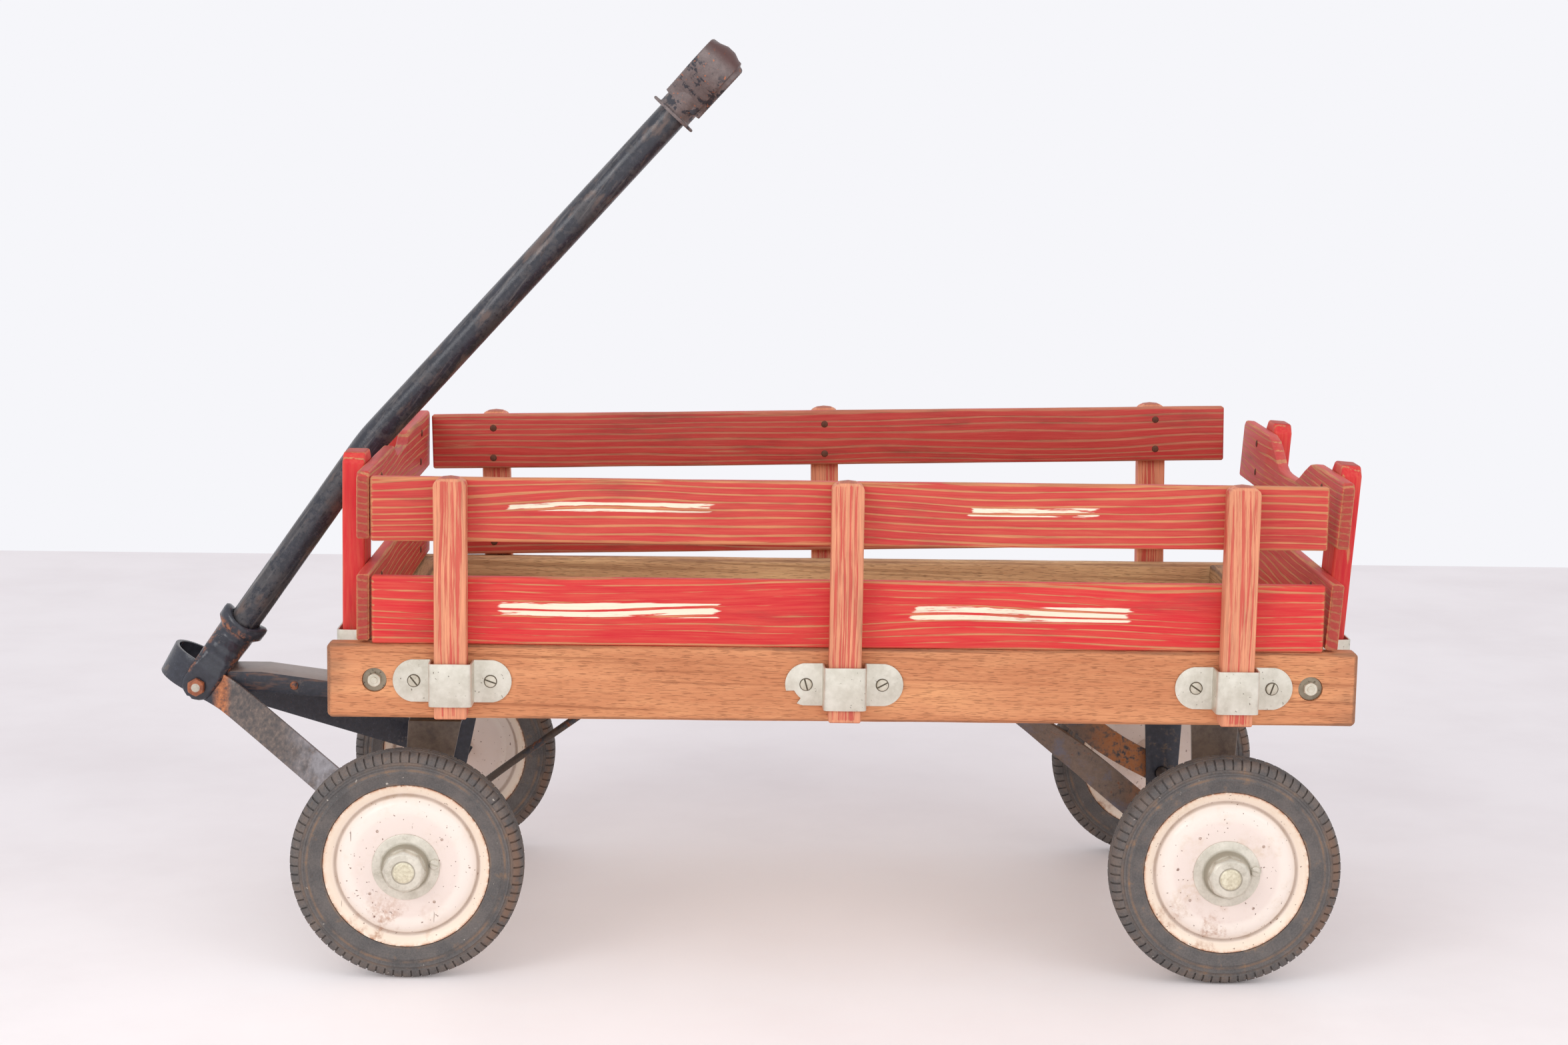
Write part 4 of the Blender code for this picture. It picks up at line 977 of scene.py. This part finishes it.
bolster_looks = (
    ("rear_bolster", "wagon", 0.0012, "black_steel",
     aged_steel("rear_bolster_steel", 2.0, 0.30, 0.20, 0.3, bare=DULL_BROWN, more=near_leg)),
    ("front_bolster", "front_truck", 0.0012, "black_steel",
     aged_steel("front_bolster_steel", 5.0, 0.30, 0.20, 0.3, bare=DULL_BROWN, more=near_leg)),
    ("turntable_plate", "wagon", 0.0006, "black_steel",
     aged_steel("turntable_steel", 8.0, 0.30, 0.40, 0.2)),
    ("king_pin", "wagon", 0.0004, "rusty_steel", aged_steel("king_pin_steel", 9.0, 0.70, 0.60, 0.0)))
for node, body, rounding, slot, look in bolster_looks:
    settle(worn_copy(node, node + "_shape", rounding, 3, 0), body, slot, look)

AXLE_BAR_R = 0.0062
for end, body, seed in (("front", "front_truck", 12.0), ("rear", "wagon", 13.0)):
    low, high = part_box(f"{end}_axle")
    bar = cylinder(AXLE_BAR_R, high.y - low.y - 0.020, (low + high) / 2, 32)
    bar.name = f"axle_bar_{end}"
    worked(bar, "BEVEL", width=0.001, segments=2, limit_method="ANGLE")
    bpy.ops.object.shade_smooth_by_angle(angle=radians(35))
    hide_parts(f"{end}_axle")
    settle(bar, body, "worn_steel", aged_steel(f"{end}_axle_steel", seed, 0.9, 0.5, 0.2))

# Rear braces: flat bar, twisted a quarter turn between the floor and the bolster's foot.
low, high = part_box("rear_axle")
rear_axle = (low + high) / 2
BRACE_HALF_WIDTH = 0.0135
across = Vector((0.637, 0, 0.771))
foot_across = Vector((0.450, 0, 0.893))


def foot_rust(place, base, cloud, fine):
    """Orange rust at the foot, and blue-grey patches where old paint is left."""
    foot_end = place.axis("X").between(0.345, 0.385)
    base = (foot_end * fine.between(0.35, 0.55) * 0.8).choose(base, colour(176, 112, 66))
    return (cloud.between(0.50, 0.62) * (1 - foot_end) * 0.6).choose(base, colour(96, 98, 112))


for side, sign in (("near", -1), ("far", 1)):
    low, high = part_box(f"rear_brace_{side}")
    y = sign * 0.1465
    out = Vector((0, sign, 0))
    head_z = high.z - 0.0020
    turns = [(Vector((0.1749, y, head_z)), out), (Vector((0.2119, y, head_z)), out),
             (Vector((0.2469, y, 0.2350)), out * 0.8 + across * 0.6),
             (Vector((0.3049, y, 0.1925)), out * 0.35 + across),
             (Vector((0.3449, y, 0.1595)), across), (Vector((0.3799, y, 0.1306)), across + foot_across),
             (rear_axle + Vector((0.010, y, -0.005)), foot_across)]
    ways = eased([tuple(point) + tuple(width.normalized()) for point, width in turns], 2)
    rows = []
    for row in ways:
        width = Vector(row[3:]).normalized() * BRACE_HALF_WIDTH
        rows.append([Vector(row[:3]) + width * step for step in (-1.0, -0.5, 0.0, 0.5, 1.0)])
    brace = bent_sheet(f"brace_{side}", rows, 0.0034, 0.0007)
    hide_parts(f"rear_brace_{side}")
    settle(brace, "wagon", "rusty_steel", aged_steel(f"brace_steel_{side}", 16.0 + sign, 0.95, 0.50, 0.3,
                                                     bare=colour(126, 106, 92), more=foot_rust))

# Brace rod: thin round bar from an eye on the king pin up to the floor.
pin_low, pin_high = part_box("king_pin")
pin = (pin_low + pin_high) / 2
ROD_R = 0.0036
EYE_Z = 0.0900
floor_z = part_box("kingpin_brace")[1].z
route = [(0.006, EYE_Z), (0.015, EYE_Z), (0.024, 0.1080), (0.034, 0.1220), (0.150, 0.2052), (0.190, 0.2335),
         (0.207, floor_z - ROD_R), (0.238, floor_z - ROD_R)]
route = eased(route, 3)
rows = []
for i, (x, z) in enumerate(route):
    before, after = route[max(i - 1, 0)], route[min(i + 1, len(route) - 1)]
    lie = Vector((after[0] - before[0], 0, after[1] - before[1])).normalized()
    sideways = Vector((0, 1, 0))
    up = lie.cross(sideways)
    rows.append([Vector((pin.x + x, 0, z)) + (ROD_R - 0.0006) * (cos(turn) * sideways + sin(turn) * up)
                 for turn in (2 * pi * k / 16 for k in range(17))])
rod = bent_sheet("brace_rod", rows, 0.0012, 0.0002)
bpy.ops.mesh.primitive_torus_add(major_radius=0.0088, minor_radius=0.0032, major_segments=32,
                                 minor_segments=12, location=(pin.x, 0, EYE_Z))
eye = bpy.context.object
bpy.ops.object.transform_apply()
eye.data.shade_smooth()
rod = joined("brace_rod", [rod, eye])
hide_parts("kingpin_brace")
settle(rod, "wagon", "rusty_steel",
       aged_steel("brace_rod_steel", 21.0, 0.8, 0.55, 0.2, bare=colour(98, 84, 74)))

# ---- draught strap: one flat bar in a long loop, from the axle round the handle's foot and back ----
# Glossy black on the bow; the legs are rubbed to brown, then to speckled grey steel near the axle.
pivot_low, pivot_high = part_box("pivot_bolt")
pivot = (pivot_low + pivot_high) / 2
axle_low, axle_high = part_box("front_axle")
front_axle = (axle_low + axle_high) / 2
run = (front_axle - pivot).normalized()
run_length = (front_axle - pivot).length
strap_up = Vector((-run.z, 0, run.x))
BOW = 0.0275
STRAP_HALF_WIDTH = 0.0155
leg = eased([(run_length + 0.013, -0.170), (run_length - 0.035, -0.170), (run_length - 0.055, -0.156),
             (0.040, -0.036), (0.0215, -BOW), (0.004, -BOW)], 3)
bow = [(-0.008 - 1.08 * BOW * sin(radians(a)), -BOW * cos(radians(a))) for a in range(0, 181, 6)]
line = leg + bow + [(u, -y) for u, y in reversed(leg)]
rows = []
for u, y in line:
    middle = pivot + run * u + Vector((0, y, 0)) + strap_up * 0.006
    rows.append([middle + strap_up * STRAP_HALF_WIDTH * step for step in (-1.0, -0.5, 0.0, 0.5, 1.0)])
strap = bent_sheet("draught_bar", rows, 0.0040, 0.0009)
PIVOT_TO_AXLE = front_axle.x - pivot.x


def strap_wear(place, base, cloud, fine):
    """The near leg: brown behind the bow, a band of orange rust, then grey steel by the axle."""
    way = (place.axis("X") - pivot.x) * (1.0 / PIVOT_TO_AXLE)
    near_side = 1 - place.axis("Y").between(-0.010, 0.010)
    legs = way.between(0.055, 0.11) * near_side
    brown = fine.between(0.3, 0.75).choose(colour(84, 78, 76), colour(134, 116, 104))
    base = (legs * (0.55 + cloud * 0.6).lesser(1.0)).choose(base, brown)
    grey = fine * 0.5 + cloud * 0.5
    grey = grey.between(0.25, 0.80).choose(colour(126, 122, 124), colour(168, 164, 168))
    base = (way.between(0.36, 0.60) * cloud.between(0.34, 0.56) * near_side).choose(base, grey)
    rusty = (1 - abs(way - 0.105).between(0.01, 0.05)) * fine.between(0.28, 0.50) * near_side
    orange = fine.between(0.3, 0.7).choose(colour(140, 78, 46), colour(206, 128, 78))
    return (rusty * 0.9).choose(base, orange)


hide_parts("draught_strap")
settle(strap, "front_truck", "black_steel",
       aged_steel("strap_steel", 24.0, 0.18, 0.28, 0.1, gloss=0.20, more=strap_wear))

# ---- tongue: a pressed channel from the pivot bolt back over the bolster ----
# Brown dust lies on its top; its sides are black, rubbed and spotted with rust round one rivet.
tongue = worn_copy("tongue_channel", "tongue_shape", 0.0032, 4, 0)


def tongue_wear(place, base, cloud, fine):
    """Brown streaks down the sides, below the top's bend."""
    height = place.axis("Z")
    side = 1 - place.facing("Z").between(0.4, 0.8)
    streak = place.stretched(30, 30, 160, 31.0).noise(1.0, 4.0, 0.6).between(0.48, 0.66)
    return (side * streak * height.between(0.205, 0.222) * 0.75).choose(base, colour(120, 88, 72))


settle(tongue, "front_truck", "black_steel",
       aged_steel("tongue_steel", 27.0, 0.28, 0.32, 0.95, more=tongue_wear))
tongue_low, tongue_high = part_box("tongue_channel")
RIVET_BACK = 0.0905
RIVET_Z = 0.2215
rivets = []
for face in (tongue_low.y, tongue_high.y):
    bpy.ops.mesh.primitive_uv_sphere_add(segments=20, ring_count=10, radius=0.0042, rotation=(pi / 2, 0, 0))
    rivet = bpy.context.object
    bpy.ops.object.transform_apply()
    rivet.data.transform(Matrix.Translation((pivot.x + RIVET_BACK, face, RIVET_Z))
                         @ Matrix.Diagonal((1, 0.45, 1, 1)))
    rivet.data.shade_smooth()
    rivets.append(rivet)
settle(joined("tongue_rivets", rivets), "front_truck", "rusty_steel",
       aged_steel("rivet_steel", 29.0, 0.6, 0.95, 0.0, bare=colour(190, 120, 84)))


# ---- handle socket: sheet steel pressed into two ears that close into a round, lobed socket ----
# Thick glossy black enamel, chipped and rusty along the ears' edges and under the collar.
HANDLE_LEAN = radians(35.0)
HANDLE = Matrix.Translation(pivot) @ Matrix.Rotation(HANDLE_LEAN, 4, "Y")
EAR_Y = 0.0317
SOCKET_R = 0.0165


def blend_at(value, stops):
    """The numbers between two of the rows (value, a, b, ...), eased."""
    for one, two in zip(stops, stops[1:]):
        if value <= two[0]:
            t = (value - one[0]) / (two[0] - one[0])
            t = t * t * (3 - 2 * t)
            return [a + (b - a) * t for a, b in zip(one[1:], two[1:])]
    return stops[-1][1:]


# height, outer y, half width, corner radius, how far the turned-in flange reaches
ear_to_socket = [(0.0, EAR_Y, 0.0140, 0.0030, 0.0), (0.016, EAR_Y, 0.0148, 0.0036, 0.0010),
                 (0.030, EAR_Y - 0.0035, 0.0152, 0.0070, 0.010), (0.042, 0.0235, 0.0158, 0.0120, 0.0235),
                 (0.052, SOCKET_R, SOCKET_R, SOCKET_R - 0.0002, SOCKET_R)]
rows = []
heights = [-0.0118, -0.0110, -0.0094, -0.0068, -0.0036] + [0.002 * k for k in range(30)]
for z in heights:
    outer, half, corner, flange = blend_at(max(z, 0.0), ear_to_socket)
    if z < 0:
        half = max(sqrt(max(0.0120 ** 2 - z * z, 0)) * half / 0.0120, 0.0025)
        corner = min(corner, half * 0.6)
    inner = max(outer - corner - flange, 0.0)
    side = [(half, inner + (outer - corner - inner) * k / 4) for k in range(4)]
    side += [(half - corner + corner * cos(radians(a)), outer - corner + corner * sin(radians(a)))
             for a in range(0, 91, 15)]
    flat = [((half - corner) * (1 - k / 3), outer) for k in range(1, 3)]
    profile = side + flat
    profile = [(x, y) for x, y in profile] + [(0.0, outer)] + [(-x, y) for x, y in reversed(profile)]
    rows.append([(x, -y, z) for x, y in profile])
fork = bent_sheet("handle_socket", rows, 0.0028, 0.0007, mirror=True)
collar_outline = [(0.0148, -0.0550), (0.0176, -0.0545), (0.0181, -0.0575), (0.0196, -0.0602),
                  (0.0207, -0.0615), (0.0209, -0.0690), (0.0206, -0.0718), (0.0192, -0.0730),
                  (0.0166, -0.0728), (0.0149, -0.0716), (0.0148, -0.0550)]
COLLAR_FOOT = 0.058
collar = spun("collar", collar_outline, 64)
collar.data.transform(Matrix.Rotation(-pi / 2, 4, "X"))
for vert in collar.data.vertices:
    reach = sqrt(vert.co.x ** 2 + vert.co.y ** 2)
    facing = vert.co.x / reach
    if vert.co.z > COLLAR_FOOT:
        swell = 1 + (reach - 0.0148) / 0.0063 * (0.13 * facing ** 4 - 0.10 * (1 - facing ** 2))
        vert.co.x *= swell
        vert.co.y *= swell
        lift = 0.0026 * facing ** 4 - 0.0040 * (1 - facing ** 2)
        vert.co.z += lift * min((vert.co.z - COLLAR_FOOT) / 0.006, 1.0)
smooth_by(collar, 50)
fork = joined("handle_socket", [fork, collar])
fork.data.transform(HANDLE)


def edge_rust(place, base, cloud, fine):
    """Rust along the ears' edges and under the collar."""
    own = place.centred(pivot, (0, HANDLE_LEAN, 0))
    x = own.axis("X")
    z = own.axis("Z")
    rim = abs(x).between(0.0120, 0.0150) * z.between(0.0, 0.01) * (1 - z.between(0.050, 0.060))
    under = (1 - abs(z - 0.0605).between(0.0008, 0.0055)) * 0.9
    mask = (rim * 0.7 + under) * fine.between(0.40, 0.62)
    return mask.choose(base, fine.between(0.3, 0.7).choose(colour(94, 56, 40), colour(160, 100, 66)))


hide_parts("handle_fork")
settle(fork, "handle", "black_steel",
       aged_steel("socket_steel", 33.0, 0.15, 0.12, 0.0, gloss=0.17, more=edge_rust))

# The pivot bolt: a rusty nut on the near side with the bolt's bright end, its head on the far side.
NUT_SEAT = pivot_high.y - pivot.y - 0.0062
NUT_ACROSS = 0.0152
NUT_THICK = 0.0060
near_nut = hexagon_nut("pivot_nut", (pivot.x, -NUT_SEAT, pivot.z), 0, NUT_ACROSS, NUT_THICK,
                       bolt=(0.0042, 0.0002))
far_head = hexagon_nut("pivot_head", (pivot.x, NUT_SEAT, pivot.z), pi, NUT_ACROSS, NUT_THICK)
shank = cylinder(0.0046, 2 * NUT_SEAT + 0.001, pivot, 24)
pivot_bolt = joined("pivot_bolt_shape", [near_nut, far_head, shank])


def bolt_end(place, base, cloud, fine):
    """A rusty nut round a bright bolt."""
    reach = radius_of(place, pivot)[0]
    rusty = fine.between(0.3, 0.7).choose(colour(124, 66, 42), colour(176, 104, 68))
    bright = fine.choose(colour(150, 140, 124), colour(226, 220, 204))
    return reach.between(0.0037, 0.0044).choose(bright, rusty)


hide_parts("pivot_bolt")
settle(pivot_bolt, "front_truck", "rusty_steel",
       aged_steel("pivot_bolt_steel", 36.0, 0.5, 0.6, more=bolt_end))

# ---- handle tube: steel tube, slightly bent, black worn thin by hands ----
TUBE_R = 0.0143
TUBE_WALL = 0.0016
TUBE_START = 0.0535
BEND = radians(7.4)
BEND_R = 0.180
BEND_AT = 0.2820
UPPER_LENGTH = 0.4196
IN_GRIP = 0.0238
BEND_FROM = BEND_AT - BEND_R * (sin(BEND / 2) / cos(BEND / 2))
TUBE_LENGTH = BEND_FROM - TUBE_START + BEND_R * BEND + UPPER_LENGTH + IN_GRIP - (BEND_AT - BEND_FROM)
bpy.ops.object.select_all(action="DESELECT")
bpy.ops.mesh.primitive_cylinder_add(vertices=48, radius=TUBE_R - TUBE_WALL / 2, depth=TUBE_LENGTH,
                                    end_fill_type="NOTHING",
                                    location=(0, 0, TUBE_START + TUBE_LENGTH / 2))
tube = bpy.context.object
tube.name = "tube"
bpy.ops.object.transform_apply()
bpy.ops.object.mode_set(mode="EDIT")
cuts = [BEND_FROM + BEND_R * BEND * k / 8 for k in range(9)]
cuts += [0.10, 0.15, 0.20, 0.35, 0.42, 0.50, 0.58, 0.66]
for cut in cuts:
    bpy.ops.mesh.select_all(action="SELECT")
    bpy.ops.mesh.bisect(plane_co=(0, 0, cut), plane_no=(0, 0, 1))
bpy.ops.object.mode_set(mode="OBJECT")
for vert in tube.data.vertices:
    past = vert.co.z - BEND_FROM
    if past > 0:
        turned = min(past / BEND_R, BEND)
        beyond = past - turned * BEND_R
        out = vert.co.x - BEND_R
        vert.co.z = BEND_FROM - out * sin(turned) + beyond * cos(turned)
        vert.co.x = BEND_R + out * cos(turned) + beyond * sin(turned)
worked(tube, "SOLIDIFY", thickness=TUBE_WALL, offset=0.0)
bpy.ops.object.shade_smooth_by_angle(angle=radians(35))
tube.data.transform(HANDLE)


def hand_wear(place, base, cloud, fine):
    """Grey streaks where hands slide, painted highlight streaks on the faces away from the tube's upper
    side, brown patches and specks of old black.
    """
    own = place.centred(pivot, (0, radians(37.0), 0))
    streak = own.stretched(260, 260, 14, 2.0).noise(1.0, 4.0, 0.65)
    patch = own.stretched(60, 60, 26, 4.0).noise(1.0, 4.0, 0.6)
    top = place.facing("X").between(-0.95, -0.35)
    # painted highlight: pale streaks on the tube's faces away from its upper side
    painted_highlight = (1 - top) * streak.between(0.40, 0.66)
    base = (streak.between(0.52, 0.78) * 0.35 + painted_highlight * 0.45).choose(base, colour(150, 144, 140))
    base = (patch.between(0.55, 0.68) * 0.7).choose(base, colour(110, 92, 84))
    black_specks = own.stretched(120, 120, 70, 7.0).noise(1.0, 3.0, 0.7).between(0.62, 0.70)
    return (black_specks * 0.75).choose(base, colour(34, 34, 40))


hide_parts("handle_tube")
settle(tube, "handle", "worn_steel",
       aged_steel("tube_steel", 38.0, 0.55, 0.10, 0.0, black=colour(40, 42, 50), bare=colour(84, 82, 84),
                  gloss=0.20, more=hand_wear))

# ---- grip: a pressed loop of wide strap with rolled edges, on a short neck over the tube's end ----
# Bare steel gone brown-grey, with dark old paint by the neck, rust specks and a dark red-brown end.
upper = Vector((sin(BEND), 0, cos(BEND)))
grip_foot = Vector((0, 0, BEND_AT)) + upper * UPPER_LENGTH
GRIP = HANDLE @ Matrix.Translation(grip_foot) @ Matrix.Rotation(BEND, 4, "Y")
NECK_R = 0.0170
neck_outline = [(0.0145, 0.0), (0.0212, 0.0), (0.0218, -0.0008), (0.0218, -0.0020), (0.0212, -0.0028),
                (0.0178, -0.0030), (NECK_R, -0.0040), (NECK_R, -0.0300), (0.0160, -0.0322),
                (0.0120, -0.0330), (0.0, -0.0332)]
neck = spun("neck", neck_outline, 64)
neck.data.transform(Matrix.Rotation(-pi / 2, 4, "X"))
for vert in neck.data.vertices:
    rise = min(max((vert.co.z - 0.012) / 0.018, 0.0), 1.0)
    vert.co.y *= 1 + 0.70 * rise * rise
    reach = sqrt(vert.co.x ** 2 + vert.co.y ** 2)
    if vert.co.z < 0.0031 and reach > 0.0175:
        facing = vert.co.x / reach
        keep = 0.0178 + (reach - 0.0178) * (0.25 + 1.25 * facing ** 10)
        vert.co.x *= keep / reach
        vert.co.y *= keep / reach
smooth_by(neck, 40)
half_loop = [(-0.0172, 0.0130), (-0.0195, 0.0200), (-0.0310, 0.0300), (-0.0490, 0.0440), (-0.0545, 0.0560),
             (-0.0545, 0.0700), (-0.0450, 0.0800), (-0.0250, 0.0808), (0.0, 0.0808)]
half_loop = eased(half_loop, 2)
loop = half_loop + [(-y, z) for y, z in reversed(half_loop[:-1])]
# across the band, and how far in from its face: a rolled lip above, a stepped flange below
section = [(-0.0180, 0.0046), (-0.0189, 0.0034), (-0.0190, 0.0014), (-0.0180, 0.0004), (-0.0120, -0.0002),
           (-0.0040, -0.0008), (0.0040, -0.0008), (0.0110, -0.0002), (0.0142, 0.0006), (0.0147, 0.0022),
           (0.0156, 0.0030), (0.0188, 0.0030), (0.0196, 0.0038), (0.0194, 0.0062)]
rows = []
for i, (y, z) in enumerate(loop):
    before, after = loop[max(i - 1, 0)], loop[min(i + 1, len(loop) - 1)]
    inward = Vector((0, after[1] - before[1], before[0] - after[0])).normalized()
    crown = 1.0 + 2.2 * max(0.0, (z - 0.066) / 0.015)
    rows.append([Vector((x, y, z)) + inward * ((depth + 0.0008) * (crown if abs(x) < 0.014 else 1.0)
                                               + 0.0030 * max(0.0, (z - 0.066) / 0.015) * (x / 0.019) ** 2)
                 for x, depth in section])
band = bent_sheet("grip_band", rows, 0.0016, 0.0004, smooth=50)
grip = joined("grip", [neck, band])
grip.data.transform(GRIP)


def grip_wear(place, base, cloud, fine):
    """Old paint by the neck, rust specks, and a dark red-brown end."""
    own = place.centred(GRIP.translation, (0, HANDLE_LEAN + BEND, 0))
    z = own.axis("Z")
    blotch = own.stretched(70, 70, 70, 5.0).noise(1.0, 4.0, 0.65)
    old_paint = blotch.between(0.52, 0.58) * (1 - z.between(0.050, 0.062))
    base = (old_paint * 0.85).choose(base, colour(46, 52, 62))
    specks = own.stretched(260, 260, 260, 9.0).noise(1.0, 2.0, 0.6).between(0.64, 0.70)
    base = (specks * 0.8).choose(base, colour(192, 116, 76))
    return (z.between(0.062, 0.074) * cloud.between(0.25, 0.50) * 0.8).choose(base, colour(84, 48, 44))


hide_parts("handle_grip")
settle(grip, "handle", "rusty_steel",
       aged_steel("grip_steel", 41.0, 1.2, 0.12, 0.0, bare=colour(138, 124, 121), gloss=0.28,
                  more=grip_wear))
